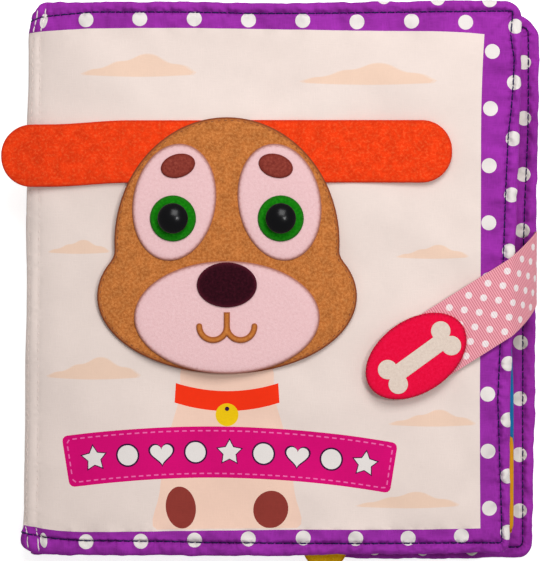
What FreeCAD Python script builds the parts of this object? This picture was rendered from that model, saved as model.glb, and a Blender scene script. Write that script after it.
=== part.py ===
"""A soft cloth and felt activity book for a baby, lying shut on its back cover.

Frame, in millimetres: the origin is the centre of the back cover's outer face, +X runs
from the spine to the fore-edge, +Y to the head of the pages, and +Z up through the book.

Two padded covers and a padded spine wrap a block of six padded leaves. The front cover sits
a little higher on the page and shorter at the fore-edge than the back one, as a thick cloth
book does when it is shut. A felt puppy's head with long ears is sewn on the front, and a
grosgrain strap from the back cover's fore-edge holds the book shut with a round hook disc
under a felt badge.
"""

import FreeCAD
import Part
import math
import os

import Sketcher

Vector = FreeCAD.Vector
TOUCHING = 1e-4  # two places nearer than this are the same place
CREASE_STEPS, FALL_STEPS, TURN_STEPS = 4, 8, 6  # flat facets of the strap's bends

# Driving dimensions, in millimetres and degrees. Each one is an alias in the sheet.
DIMENSIONS = {
    # covers
    "cover_width": 208.0,  # back cover, spine to fore-edge
    "cover_height": 220.0,
    "cover_thickness": 4.5,
    "cover_corner": 4.0,
    "cover_edge_round": 2.1,
    "front_setback": 11.5,  # the front cover's fore-edge stops this far short of the back's
    "front_rise": 3.2,  # and the front cover sits this much higher on the page
    "stitch_inset": 4.0,  # edge to the middle of the stitched channel
    "channel_width": 1.4,
    "channel_depth": 0.5,
    "body_gap": 0.3,  # air between pieces that move apart
    # spine
    "spine_thickness": 3.5,
    "spine_end_round": 1.2,
    # leaves
    "leaf_count": 6,
    "leaf_thickness": 4.4,
    "leaf_height": 212.0,
    "leaf_round": 1.9,
    "leaf_corner": 3.0,
    "leaf_overhang": 2.2,  # past the front cover's fore-edge
    "tab_width": 18.0,
    "tab_reach": 9.5,  # out of the leaf's lower edge
    "tab_corner": 8.0,
    "tab_root": 8.0,  # sewn into the leaf
    "tab_thickness": 1.6,
    "tab_middle": 17.0,
    "tab_leaf": 3,  # the leaf that holds it, counted from below
    # the puppy's head
    "felt_thickness": 1.2,
    "head_thickness": 3.0,
    "head_middle": -22.5,
    "skull_half_width": 45.0,
    "skull_half_height": 50.0,
    "skull_level": 18.0,
    "cheek_half_width": 52.0,
    "cheek_half_height": 31.0,
    "cheek_level": -3.5,
    "ear_width": 25.0,
    "ear_thickness": 2.0,
    "ear_tip_radius": 12.2,
    "ear_reach": 90.0,  # head's middle to the ear's tip
    "ear_tuck": 8.0,  # head's middle to the ear's hidden end
    "left_ear_level": 52.8,
    "right_ear_level": 54.4,
    "ear_clearance": 0.15,
    "patch_half_width": 16.5,
    "patch_half_height": 23.5,
    "patch_spread": 21.0,
    "patch_level": 34.0,
    "patch_lean": 10.0,
    "eye_spread": 21.5,
    "eye_level": 27.5,
    "iris_radius": 9.2,
    "eye_radius": 6.0,
    "eye_rim": 0.8,
    "eye_dome": 4.7,
    "shank_radius": 2.1,
    "shank_clearance": 0.1,
    "washer_radius": 6.5,
    "washer_thickness": 1.2,
    "washer_cover": 1.0,  # padding left under the washer
    "muzzle_half_width": 37.0,
    "muzzle_half_height": 22.5,
    "muzzle_level": -12.0,
    "nose_half_width": 12.0,
    "nose_half_height": 9.0,
    "nose_level": 1.0,
    "mouth_level": -15.5,
    "mouth_radius": 5.5,
    "mouth_stroke": 2.4,
    "mouth_drop": 6.0,  # the line from the mouth's middle up towards the nose
    "brow_half_width": 6.5,
    "brow_half_height": 4.0,
    "brow_spread": 19.5,
    "brow_level": 48.5,
    "brow_lean": 16.0,
    # strap and badge
    "badge_middle": 53.0,
    "badge_level": -27.4,
    "badge_tilt": 36.0,  # the badge is sewn a little askew on the ribbon
    "badge_half_length": 22.5,
    "badge_half_width": 14.5,
    "badge_thickness": 2.0,
    "bone_half_span": 13.0,
    "bone_lobe_radius": 3.8,
    "bone_lobe_spread": 3.5,
    "bone_shaft_width": 6.4,
    "bone_clearance": 0.05,
    "disc_radius": 10.0,
    "disc_thickness": 1.2,
    "strap_tilt": 32.0,
    "ribbon_width": 25.4,
    "ribbon_thickness": 0.6,
    "strap_end": 7.0,  # its free end, past the badge's middle
    "strap_level_run": 12.0,  # level from the badge's middle, over the discs
    "crease_slope": 40.0,  # the strap's slope as it leaves the front cover's edge
    "crease_radius": 2.5,
    "strap_fall_radius": 30.0,
    "strap_bulge": 2.5,  # how far it stands out past the back cover's edge
    "strap_turn_radius": 2.2,  # where it turns in to its seam
    "strap_root": 6.0,  # length caught in the back cover's seam
    "slot_clearance": 0.15,
}

doc = FreeCAD.newDocument("baby_book")
dims = doc.addObject("Spreadsheet::Sheet", "dims")
for row, (name, number) in enumerate(DIMENSIONS.items(), start=1):
    dims.set(f"A{row}", name)
    dims.set(f"B{row}", str(number))
    dims.setAlias(f"B{row}", name)
doc.recompute()

# Levels and places that several pieces share, as expressions on the sheet.
SPINE_SIDE = "(-dims.cover_width / 2)"
BLOCK_BOTTOM = "(dims.cover_thickness + dims.body_gap)"
BLOCK_HEIGHT = "(dims.leaf_count * dims.leaf_thickness)"
FRONT_BOTTOM = f"({BLOCK_BOTTOM} + {BLOCK_HEIGHT} + dims.body_gap)"
FRONT_TOP = f"({FRONT_BOTTOM} + dims.cover_thickness)"
ROLL_RADIUS = "dims.cover_thickness"  # the spine's rolled shoulder stays above the leaves
FRONT_LEFT = f"({SPINE_SIDE} + {ROLL_RADIUS} + dims.body_gap)"
FRONT_RIGHT = "(dims.cover_width / 2 - dims.front_setback)"
FRONT_WIDTH = f"({FRONT_RIGHT} - {FRONT_LEFT})"
BLOCK_LEFT = f"({SPINE_SIDE} + dims.spine_thickness)"
BLOCK_WIDTH = f"({FRONT_RIGHT} + dims.leaf_overhang - {BLOCK_LEFT})"
TAB_LEVEL = (
    f"({BLOCK_BOTTOM} + (dims.tab_leaf - 0.5) * dims.leaf_thickness - dims.tab_thickness / 2)"
)
BLOCK_LEVEL = "(dims.front_rise / 2)"  # the spine and leaves share the shear between the covers
HEAD_TOP = f"({FRONT_TOP} + dims.head_thickness)"
PATCH_TOP = f"({HEAD_TOP} + dims.felt_thickness)"
IRIS_TOP = f"({PATCH_TOP} + dims.felt_thickness)"
HOOK_BOTTOM = f"({FRONT_TOP} + dims.disc_thickness)"
STRAP_BOTTOM = f"({HOOK_BOTTOM} + dims.disc_thickness)"
BADGE_BOTTOM = f"({STRAP_BOTTOM} + dims.ribbon_thickness)"
SIDES = (("left", "(-1)"), ("right", "(1)"))
HOLE_RADIUS = "(dims.shank_radius + dims.shank_clearance)"
WASHER_BOTTOM = f"({FRONT_BOTTOM} + dims.washer_cover)"
WASHER_ROOM = "(dims.washer_thickness + dims.shank_clearance)"
COVER_MIDDLE = "(dims.cover_thickness / 2)"

# The strap seen along Y: level under the badge, down to the front cover's edge, round the
# crease, down a straight chute, round a wide fall, straight down, and a turn into its seam.
STRAP_LEVEL = f"({STRAP_BOTTOM} + dims.ribbon_thickness / 2)"
EDGE_LEVEL = f"({FRONT_TOP} + dims.body_gap + dims.ribbon_thickness / 2)"
EDGE_PLACE = f"({FRONT_RIGHT} - dims.cover_edge_round)"
APPROACH_PLACE = "(dims.badge_middle + dims.strap_level_run)"
APPROACH_SLOPE = f"(atan(({STRAP_LEVEL} - {EDGE_LEVEL}) / ({EDGE_PLACE} - {APPROACH_PLACE})))"
APPROACH_RUN = f"(({EDGE_PLACE} - {APPROACH_PLACE}) / cos({APPROACH_SLOPE}))"
CREASE_SLOPE = "(dims.crease_slope * 1 deg)"
CREASE_RUN = f"(dims.crease_radius * ({CREASE_SLOPE} - {APPROACH_SLOPE}) / 1 rad)"
CHUTE_PLACE = (
    f"({EDGE_PLACE} + dims.crease_radius * (sin({CREASE_SLOPE}) - sin({APPROACH_SLOPE})))"
)
CHUTE_LEVEL = (
    f"({EDGE_LEVEL} - dims.crease_radius * (cos({APPROACH_SLOPE}) - cos({CREASE_SLOPE})))"
)
FALL_PLACE = "(dims.cover_width / 2 + dims.strap_bulge)"
CHUTE_RUN = (
    f"(({FALL_PLACE} - {CHUTE_PLACE} - dims.strap_fall_radius * (1 - sin({CREASE_SLOPE})))"
    f" / cos({CREASE_SLOPE}))"
)
FALL_RUN = f"(dims.strap_fall_radius * (90 deg - {CREASE_SLOPE}) / 1 rad)"
DROP_RUN = (
    f"({CHUTE_LEVEL} - {CHUTE_RUN} * sin({CREASE_SLOPE})"
    f" - dims.strap_fall_radius * cos({CREASE_SLOPE})"
    f" - dims.strap_turn_radius - {COVER_MIDDLE})"
)
TURN_RUN = "(dims.strap_turn_radius * 90 deg / 1 rad)"
ROOT_RUN = "(dims.strap_bulge - dims.strap_turn_radius + dims.strap_root)"
LEVEL_RUN = "dims.strap_level_run"
STRAP_RUN = " + ".join(
    (LEVEL_RUN, APPROACH_RUN, CREASE_RUN, CHUTE_RUN, FALL_RUN, DROP_RUN, TURN_RUN, ROOT_RUN)
)
# Along Y the slanted ribbon is wider than its own width, and it drifts as it runs.
STRAP_SPAN = "(dims.ribbon_width / cos(dims.strap_tilt * 1 deg))"
STRAP_DRIFT = "tan(dims.strap_tilt * 1 deg)"
ROOT_LEVEL = f"(dims.badge_level + {STRAP_DRIFT} * ({STRAP_RUN}))"
ROOT_DRIFT = f"({STRAP_DRIFT} * {ROOT_RUN})"


def value(expression):
    """The number that an expression on the sheet gives now."""
    number = dims.evalExpression(expression)
    return float(getattr(number, "Value", number))


def place(obj, x="0", y="0", z="0", turn=None):
    """Bind an object's Placement to the sheet, with an optional turn about Z in degrees."""
    for axis, expression in zip("xyz", (x, y, z)):
        obj.setExpression(f"Placement.Base.{axis}", expression)
    if turn is not None:
        obj.Placement.Rotation = FreeCAD.Rotation(Vector(0, 0, 1), 1)
        obj.setExpression("Placement.Rotation.Angle", f"({turn}) * 1 deg")
    return obj


# ---------------------------------------------------------------- sketches


def new_body(label, x="0", y="0", z="0"):
    body = doc.addObject("PartDesign::Body", label)
    body.Label = label
    place(body, x, y, z)
    return body


def new_sketch(body, name, plane="XY_Plane", x=None, y=None, level=None):
    """A sketch on one of the body's own planes, moved on it and along its normal."""
    sketch = body.newObject("Sketcher::SketchObject", f"{body.Label}_{name}")
    role = next(f for f in body.Origin.OriginFeatures if f.Role == plane)
    sketch.AttachmentSupport = (role, "")
    sketch.MapMode = "FlatFace"
    for axis, expression in zip("xyz", (x, y, level)):
        if expression is not None:
            sketch.setExpression(f"AttachmentOffset.Base.{axis}", expression)
    return sketch


def dimension(sketch, kind, where, number, expression):
    """Add a dimension to a sketch and bind it to the sheet."""
    index = sketch.addConstraint(Sketcher.Constraint(kind, *where, number))
    name = f"size_{index}"
    sketch.renameConstraint(index, name)
    sketch.setExpression(f"Constraints.{name}", expression)


def locate(sketch, geometry, point, x=None, y=None):
    """Dimension one point from the sketch's origin. The sense keeps every number positive."""
    for kind, expression in (("DistanceX", x), ("DistanceY", y)):
        if expression is None:
            continue
        number = value(expression)
        if number >= 0:
            dimension(sketch, kind, (-1, 1, geometry, point), number, expression)
        else:
            dimension(sketch, kind, (geometry, point, -1, 1), -number, f"-({expression})")


def add_polygon(sketch, corners):
    """A closed polygon through corners given as pairs of expressions."""
    points = [Vector(value(x), value(y), 0) for x, y in corners]
    count = len(points)
    lines = [
        sketch.addGeometry(Part.LineSegment(points[i], points[(i + 1) % count]))
        for i in range(count)
    ]
    for i in range(count):
        following = lines[(i + 1) % count]
        sketch.addConstraint(Sketcher.Constraint("Coincident", lines[i], 2, following, 1))
        locate(sketch, lines[i], 1, *corners[i])


def add_rectangle(sketch, left, right, low, high, radius=None, rounded=(True, True, True, True)):
    """A rectangle between four expressions, its corners rounded anticlockwise from low left."""
    x0, x1, y0, y1 = (value(e) for e in (left, right, low, high))
    r = value(radius) if radius else 0
    corners = [(x0, y0), (x1, y0), (x1, y1), (x0, y1)]
    along = [(1, 0), (0, 1), (-1, 0), (0, -1)]
    lines = []
    for i in range(4):
        start_cut = r if rounded[i] else 0
        end_cut = r if rounded[(i + 1) % 4] else 0
        (ax, ay), (bx, by), (dx, dy) = corners[i], corners[(i + 1) % 4], along[i]
        start = Vector(ax + dx * start_cut, ay + dy * start_cut, 0)
        end = Vector(bx - dx * end_cut, by - dy * end_cut, 0)
        lines.append(sketch.addGeometry(Part.LineSegment(start, end)))
    arcs = []
    for i in range(4):
        before = lines[i - 1]
        if not (rounded[i] and r):
            sketch.addConstraint(Sketcher.Constraint("Coincident", before, 2, lines[i], 1))
            continue
        (cx, cy), (dx, dy), (ex, ey) = corners[i], along[i], along[i - 1]
        centre = Vector(cx + (dx - ex) * r, cy + (dy - ey) * r, 0)
        end_angle = math.atan2(ey, ex)
        circle = Part.Circle(centre, Vector(0, 0, 1), r)
        arc = sketch.addGeometry(Part.ArcOfCircle(circle, end_angle - math.pi / 2, end_angle))
        sketch.addConstraint(Sketcher.Constraint("Tangent", before, 2, arc, 1))
        sketch.addConstraint(Sketcher.Constraint("Tangent", arc, 2, lines[i], 1))
        arcs.append(arc)
    for i, kind in enumerate(("Horizontal", "Vertical", "Horizontal", "Vertical")):
        sketch.addConstraint(Sketcher.Constraint(kind, lines[i]))
    locate(sketch, lines[0], 1, None, low)
    locate(sketch, lines[1], 1, right, None)
    locate(sketch, lines[2], 1, None, high)
    locate(sketch, lines[3], 1, left, None)
    if arcs:
        dimension(sketch, "Radius", (arcs[0],), r, radius)
        for arc in arcs[1:]:
            sketch.addConstraint(Sketcher.Constraint("Equal", arcs[0], arc))


def add_ellipse(sketch, half_width, half_height, lean="0"):
    """An ellipse about the sketch's origin, its width turned by lean degrees."""
    a, b, angle = value(half_width), value(half_height), math.radians(value(lean))
    if a < b:
        half_width, half_height = half_height, half_width
        a, b = b, a
        lean, angle = f"({lean} + 90)", angle + math.pi / 2
    major = Vector(math.cos(angle), math.sin(angle), 0)
    minor = Vector(-math.sin(angle), math.cos(angle), 0)
    ellipse = sketch.addGeometry(Part.Ellipse(major * a, minor * b, Vector()))
    sketch.exposeInternalGeometry(ellipse)
    sketch.addConstraint(Sketcher.Constraint("Coincident", ellipse, 3, -1, 1))
    dimension(sketch, "Distance", (ellipse + 1,), 2 * a, f"2 * {half_width}")
    dimension(sketch, "Distance", (ellipse + 2,), 2 * b, f"2 * {half_height}")
    if angle:
        dimension(sketch, "Angle", (ellipse + 1,), angle, f"{lean} * 1 deg")
    else:
        sketch.addConstraint(Sketcher.Constraint("Horizontal", ellipse + 1))


def add_circle(sketch, x, y, radius):
    centre = Vector(value(x), value(y), 0)
    circle = sketch.addGeometry(Part.Circle(centre, Vector(0, 0, 1), value(radius)))
    dimension(sketch, "Radius", (circle,), value(radius), radius)
    if abs(centre.x) + abs(centre.y) == 0:
        sketch.addConstraint(Sketcher.Constraint("Coincident", circle, 3, -1, 1))
    else:
        locate(sketch, circle, 3, x, y)


# ---------------------------------------------------------------- features


def pad(body, sketch, length, midplane=False):
    feature = body.newObject("PartDesign::Pad", f"{sketch.Name}_pad")
    feature.Profile = sketch
    feature.Midplane = midplane
    feature.setExpression("Length", length)
    doc.recompute()
    return feature


def pocket(body, sketch, length, upward, midplane=False):
    """Cut a sketch into the body, upward or downward along the sketch's normal."""
    before = body.Shape.Volume
    feature = body.newObject("PartDesign::Pocket", f"{sketch.Name}_pocket")
    feature.Profile = sketch
    feature.Midplane = midplane
    feature.Reversed = upward
    feature.setExpression("Length", length)
    doc.recompute()
    if not body.Shape.Volume < before:
        raise RuntimeError(f"{feature.Name} cuts nothing")
    return feature


def cut_cylinder(body, name, radius, height, x, y, z):
    before = body.Shape.Volume
    hole = body.newObject("PartDesign::SubtractiveCylinder", f"{body.Label}_{name}")
    hole.setExpression("Radius", radius)
    hole.setExpression("Height", height)
    place(hole, x, y, z)
    doc.recompute()
    if not body.Shape.Volume < before:
        raise RuntimeError(f"{hole.Name} cuts nothing")


def cut_box(body, name, length, width, height, x, y, z):
    before = body.Shape.Volume
    box = body.newObject("PartDesign::SubtractiveBox", f"{body.Label}_{name}")
    for side, expression in (("Length", length), ("Width", width), ("Height", height)):
        box.setExpression(side, expression)
    place(box, x, y, z)
    doc.recompute()
    if not body.Shape.Volume < before:
        raise RuntimeError(f"{box.Name} cuts nothing")


def spin(body, section):
    """Revolve a section about the body's own Z axis."""
    feature = body.newObject("PartDesign::Revolution", f"{section.Name}_spin")
    feature.Profile = section
    feature.ReferenceAxis = (section, ["V_Axis"])
    feature.Angle = 360
    doc.recompute()


def round_edges(body, radius, wanted, name="round"):
    """Fillet the body's edges that wanted(edge) picks."""
    base = body.Tip
    names = [f"Edge{i}" for i, e in enumerate(base.Shape.Edges, start=1) if wanted(e)]
    if not names:
        raise RuntimeError(f"{body.Label} has no edge to round")
    feature = body.newObject("PartDesign::Fillet", f"{body.Label}_{name}")
    feature.Base = (base, names)
    feature.setExpression("Radius", radius)
    doc.recompute()
    return feature


def lies_at(edge, axis, *levels):
    """True if the whole edge lies at one of these levels of an axis, such as "z"."""
    low = getattr(edge.BoundBox, f"{axis.upper()}Min")
    high = getattr(edge.BoundBox, f"{axis.upper()}Max")
    return any(abs(low - level) < TOUCHING and abs(high - level) < TOUCHING for level in levels)


def felt_ellipse(label, half_width, half_height, thickness, x, y, z, lean="0", hole=None):
    """A flat piece of felt cut as an ellipse, with an optional round hole (x, y, radius)."""
    body = new_body(label, x, y, z)
    sketch = new_sketch(body, "outline")
    add_ellipse(sketch, half_width, half_height, lean)
    if hole:
        add_circle(sketch, *hole)
    pad(body, sketch, thickness)
    return body


# ---------------------------------------------------------------- covers


def stitched_channel(body, name, width, level, upward, spine_margin):
    """The shallow valley that the topstitching pulls in, on three sides of a cover's face."""
    sketch = new_sketch(body, name, level=level)
    inner = "(dims.stitch_inset + dims.channel_width / 2)"
    outer = "(dims.stitch_inset - dims.channel_width / 2)"
    half = "dims.cover_height / 2"
    for inset, reach in ((outer, f"(2 * {spine_margin})"), (inner, spine_margin)):
        add_rectangle(
            sketch,
            f"-{reach}",
            f"({width} - {inset})",
            f"({inset} - {half})",
            f"({half} - {inset})",
        )
    pocket(body, sketch, "dims.channel_depth", upward)


def padded_cover(label, x, y, z, width, spine_rounded):
    """A padded panel with soft edges. Its own origin is the middle of its spine edge."""
    body = new_body(label, x, y, z)
    outline = new_sketch(body, "outline")
    half = "dims.cover_height / 2"
    add_rectangle(
        outline, "0", width, f"-{half}", half, "dims.cover_corner", (False, True, True, False)
    )
    pad(body, outline, "dims.cover_thickness")
    faces = (0, value("dims.cover_thickness"))
    round_edges(
        body,
        "dims.cover_edge_round",
        lambda e: lies_at(e, "z", *faces) and (spine_rounded or not lies_at(e, "x", 0)),
    )
    margin = "dims.stitch_inset"
    stitched_channel(body, "inner_stitch", width, "0", True, margin)
    stitched_channel(body, "outer_stitch", width, "dims.cover_thickness", False, margin)
    return body


def make_back_cover():
    """The back cover, bevelled where the spine folds up, with a slot for the strap's end."""
    body = padded_cover("back_cover", SPINE_SIDE, "0", "0", "dims.cover_width", False)
    bevel = new_sketch(body, "bevel", "XZ_Plane")
    past = "(dims.cover_thickness + 1)"
    add_polygon(bevel, [("-1", "-1"), (past, past), ("-1", past)])
    pocket(body, bevel, "2 * dims.cover_height", False, midplane=True)
    cut_box(
        body,
        "strap_slot",
        "dims.strap_root + dims.slot_clearance + 1",
        f"{STRAP_SPAN} + {ROOT_DRIFT} + 2 * dims.slot_clearance",
        "dims.ribbon_thickness + 2 * dims.slot_clearance",
        "dims.cover_width - dims.strap_root - dims.slot_clearance",
        f"{ROOT_LEVEL} - {ROOT_DRIFT} - {STRAP_SPAN} / 2 - dims.slot_clearance",
        f"{COVER_MIDDLE} - dims.ribbon_thickness / 2 - dims.slot_clearance",
    )


def make_front_cover():
    """The front cover, with a hole and a closed pocket inside it for each eye's lock washer."""
    body = padded_cover(
        "front_cover", FRONT_LEFT, "dims.front_rise", FRONT_BOTTOM, FRONT_WIDTH, True
    )
    for side, sign in SIDES:
        x = f"dims.head_middle + {sign} * dims.eye_spread - {FRONT_LEFT}"
        y = "dims.eye_level - dims.front_rise"
        cut_cylinder(
            body, f"{side}_shank_hole", HOLE_RADIUS, "dims.cover_thickness", x, y, "dims.washer_cover"
        )
        cut_cylinder(
            body,
            f"{side}_washer_pocket",
            "dims.washer_radius + dims.shank_clearance",
            WASHER_ROOM,
            x,
            y,
            "dims.washer_cover",
        )


def make_spine():
    """The padded spine: a wall that rolls over at the top to meet the front cover's seam."""
    body = new_body("spine", SPINE_SIDE, BLOCK_LEVEL)
    sketch = new_sketch(body, "profile", "XZ_Plane")
    thick, roll = value("dims.spine_thickness"), value(ROLL_RADIUS)
    top = f"({FRONT_TOP} - dims.body_gap)"
    bevel = "(1.5 * dims.body_gap)"
    high, low = value(top), value(bevel)
    centre = Vector(roll, high - roll, 0)
    up, over = Vector(0, 0, 1), math.pi / 2

    def line(*ends):
        return sketch.addGeometry(Part.LineSegment(*(Vector(x, z, 0) for x, z in ends)))

    def arc(radius):
        circle = Part.Circle(centre, up, radius)
        return sketch.addGeometry(Part.ArcOfCircle(circle, over, math.pi))

    outer_wall = line((0, low), (0, high - roll))
    outer_roll = arc(roll)
    seam = line((roll, high), (roll, high - thick))
    inner_roll = arc(roll - thick)
    inner_wall = line((thick, high - roll), (thick, low + thick))
    foot = line((thick, low + thick), (0, low))
    joins = (
        ("Tangent", outer_wall, 2, outer_roll, 2),
        ("Coincident", outer_roll, 1, seam, 1),
        ("Coincident", seam, 2, inner_roll, 1),
        ("Tangent", inner_roll, 2, inner_wall, 1),
        ("Coincident", inner_wall, 2, foot, 1),
        ("Coincident", foot, 2, outer_wall, 1),
        ("Coincident", outer_roll, 3, inner_roll, 3),
        ("Vertical", outer_wall),
        ("Vertical", seam),
        ("Vertical", inner_wall),
    )
    for join in joins:
        sketch.addConstraint(Sketcher.Constraint(*join))
    dimension(sketch, "Radius", (outer_roll,), roll, ROLL_RADIUS)
    locate(sketch, outer_roll, 3, ROLL_RADIUS, f"{top} - {ROLL_RADIUS}")
    locate(sketch, inner_wall, 2, "dims.spine_thickness", f"{bevel} + dims.spine_thickness")
    locate(sketch, outer_wall, 1, None, bevel)
    pad(body, sketch, "dims.cover_height", midplane=True)
    half, foot_top = value("dims.cover_height") / 2, low + thick
    round_edges(
        body,
        "dims.spine_end_round",
        lambda e: (
            lies_at(e, "y", -half, half)
            and e.BoundBox.XMin < TOUCHING
            and e.BoundBox.ZMax > foot_top + TOUCHING
        ),
    )


def make_page_block():
    """Six padded leaves sewn together at the spine, with a slot in one leaf for its tab."""
    body = new_body("page_block", BLOCK_LEFT, BLOCK_LEVEL, BLOCK_BOTTOM)
    outline = new_sketch(body, "leaf")
    half = "dims.leaf_height / 2"
    add_rectangle(
        outline, "0", BLOCK_WIDTH, f"-{half}", half, "dims.leaf_corner", (False, True, True, False)
    )
    pad(body, outline, "dims.leaf_thickness")
    faces = (0, value("dims.leaf_thickness"))
    round_edges(
        body, "dims.leaf_round", lambda e: lies_at(e, "z", *faces) and not lies_at(e, "x", 0)
    )
    leaves = body.newObject("PartDesign::LinearPattern", "leaves")
    leaves.TransformMode = "Whole shape"
    axis = next(f for f in body.Origin.OriginFeatures if f.Role == "Z_Axis")
    leaves.Direction = (axis, [""])
    leaves.setExpression("Length", "(dims.leaf_count - 1) * dims.leaf_thickness")
    leaves.setExpression("Occurrences", "dims.leaf_count")
    body.Tip = leaves
    doc.recompute()
    cut_box(
        body,
        "tab_slot",
        "dims.tab_width",
        "dims.tab_root + 1",
        "dims.tab_thickness",
        f"dims.tab_middle - dims.tab_width / 2 - {BLOCK_LEFT}",
        "-dims.leaf_height / 2 - 1",
        f"{TAB_LEVEL} - {BLOCK_BOTTOM}",
    )


def make_page_tab():
    """A felt pull tab, its root sewn into the lower edge of the middle leaf."""
    low = f"({BLOCK_LEVEL} - dims.leaf_height / 2)"
    body = new_body("page_tab", "dims.tab_middle", low, TAB_LEVEL)
    sketch = new_sketch(body, "outline")
    half = "dims.tab_width / 2"
    add_rectangle(
        sketch,
        f"-{half}",
        half,
        "-dims.tab_reach",
        "dims.tab_root",
        "dims.tab_corner",
        (True, True, False, False),
    )
    pad(body, sketch, "dims.tab_thickness")


# ---------------------------------------------------------------- the puppy


def make_head():
    """The head: a tall skull and wide cheeks in one piece, hollowed below for the ears' ends."""
    body = new_body("head", "dims.head_middle", "0", FRONT_TOP)
    for part in ("skull", "cheek"):
        sketch = new_sketch(body, part, y=f"dims.{part}_level")
        add_ellipse(sketch, f"dims.{part}_half_width", f"dims.{part}_half_height")
        pad(body, sketch, "dims.head_thickness")
    for side, start in (
        ("left", "-dims.ear_reach"),
        ("right", "dims.ear_tuck - dims.ear_clearance"),
    ):
        cut_box(
            body,
            f"{side}_ear_recess",
            "dims.ear_reach - dims.ear_tuck + dims.ear_clearance",
            "dims.ear_width + 2 * dims.ear_clearance",
            "dims.ear_thickness + dims.ear_clearance",
            start,
            f"dims.{side}_ear_level - dims.ear_width / 2 - dims.ear_clearance",
            "0",
        )
    for side, sign in SIDES:
        cut_cylinder(
            body,
            f"{side}_shank_hole",
            HOLE_RADIUS,
            "dims.head_thickness",
            f"{sign} * dims.eye_spread",
            "dims.eye_level",
            "0",
        )


def make_ear(side, near, far, rounded):
    """A long round-ended ear, flat on the cover, its near end hidden under the head."""
    body = new_body(f"{side}_ear", "dims.head_middle", f"dims.{side}_ear_level", FRONT_TOP)
    sketch = new_sketch(body, "outline")
    half = "dims.ear_width / 2"
    add_rectangle(sketch, near, far, f"-{half}", half, "dims.ear_tip_radius", rounded)
    pad(body, sketch, "dims.ear_thickness")


def make_face():
    """The felt pieces of the face, in three layers: head, patches, and what is on them."""
    felt = "dims.felt_thickness"
    for side, sign in SIDES:
        hole = (
            f"{sign} * (dims.eye_spread - dims.patch_spread)",
            "(dims.eye_level - dims.patch_level)",
            HOLE_RADIUS,
        )
        felt_ellipse(
            f"{side}_eye_patch",
            "dims.patch_half_width",
            "dims.patch_half_height",
            felt,
            f"dims.head_middle + {sign} * dims.patch_spread",
            "dims.patch_level",
            HEAD_TOP,
            f"{sign} * dims.patch_lean",
            hole,
        )
        felt_ellipse(
            f"{side}_brow",
            "dims.brow_half_width",
            "dims.brow_half_height",
            felt,
            f"dims.head_middle + {sign} * dims.brow_spread",
            "dims.brow_level",
            PATCH_TOP,
            f"-{sign} * dims.brow_lean",
        )
        make_eye(side, f"dims.head_middle + {sign} * dims.eye_spread")
    felt_ellipse(
        "muzzle",
        "dims.muzzle_half_width",
        "dims.muzzle_half_height",
        felt,
        "dims.head_middle",
        "dims.muzzle_level",
        HEAD_TOP,
    )
    felt_ellipse(
        "nose",
        "dims.nose_half_width",
        "dims.nose_half_height",
        felt,
        "dims.head_middle",
        "dims.nose_level",
        PATCH_TOP,
    )


def make_eye(side, x):
    """A felt iris, a glossy domed eye with a shank, and the washer that locks it inside."""
    iris = new_body(f"{side}_iris", x, "dims.eye_level", PATCH_TOP)
    ring = new_sketch(iris, "ring")
    add_circle(ring, "0", "0", "dims.iris_radius")
    add_circle(ring, "0", "0", HOLE_RADIUS)
    pad(iris, ring, "dims.felt_thickness")

    eye = new_body(f"{side}_eye", x, "dims.eye_level", IRIS_TOP)
    section = new_sketch(eye, "section", "XZ_Plane")
    shank = f"({IRIS_TOP} - {WASHER_BOTTOM})"
    rim, dome = value("dims.eye_rim"), value("dims.eye_dome")
    radius, thin, deep = value("dims.eye_radius"), value("dims.shank_radius"), value(shank)
    ball = (radius**2 + dome**2) / (2 * dome)
    centre = Vector(0, rim + dome - ball, 0)
    start = math.atan2(rim - centre.y, radius)
    cap = section.addGeometry(
        Part.ArcOfCircle(Part.Circle(centre, Vector(0, 0, 1), ball), start, math.pi / 2)
    )
    turns = [(0, rim + dome), (0, -deep), (thin, -deep), (thin, 0), (radius, 0), (radius, rim)]
    lines = [
        section.addGeometry(Part.LineSegment(Vector(*a, 0), Vector(*b, 0)))
        for a, b in zip(turns, turns[1:])
    ]
    chain = [(cap, 2, lines[0], 1)]
    chain += [(a, 2, b, 1) for a, b in zip(lines, lines[1:])]
    chain += [(lines[-1], 2, cap, 1)]
    for link in chain:
        section.addConstraint(Sketcher.Constraint("Coincident", *link))
    for line, kind in zip(lines, ("Vertical", "Horizontal") * 3):
        section.addConstraint(Sketcher.Constraint(kind, line))
    section.addConstraint(Sketcher.Constraint("PointOnObject", cap, 3, -2))
    section.addConstraint(Sketcher.Constraint("PointOnObject", lines[0], 1, -2))
    locate(section, lines[1], 2, "dims.shank_radius", f"-{shank}")
    section.addConstraint(Sketcher.Constraint("PointOnObject", lines[3], 1, -1))
    locate(section, lines[4], 2, "dims.eye_radius", "dims.eye_rim")
    locate(section, cap, 2, None, "dims.eye_rim + dims.eye_dome")
    spin(eye, section)

    washer = new_body(f"{side}_eye_washer", x, "dims.eye_level", WASHER_BOTTOM)
    rib = new_sketch(washer, "section", "XZ_Plane")
    outer, thick = "dims.washer_radius", "dims.washer_thickness"
    corners = [
        (HOLE_RADIUS, "0"),
        (outer, "0"),
        (outer, f"{thick} / 2"),
        (f"({HOLE_RADIUS} + {outer}) / 2", thick),
        (HOLE_RADIUS, thick),
    ]
    add_polygon(rib, corners)
    spin(washer, rib)


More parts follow.
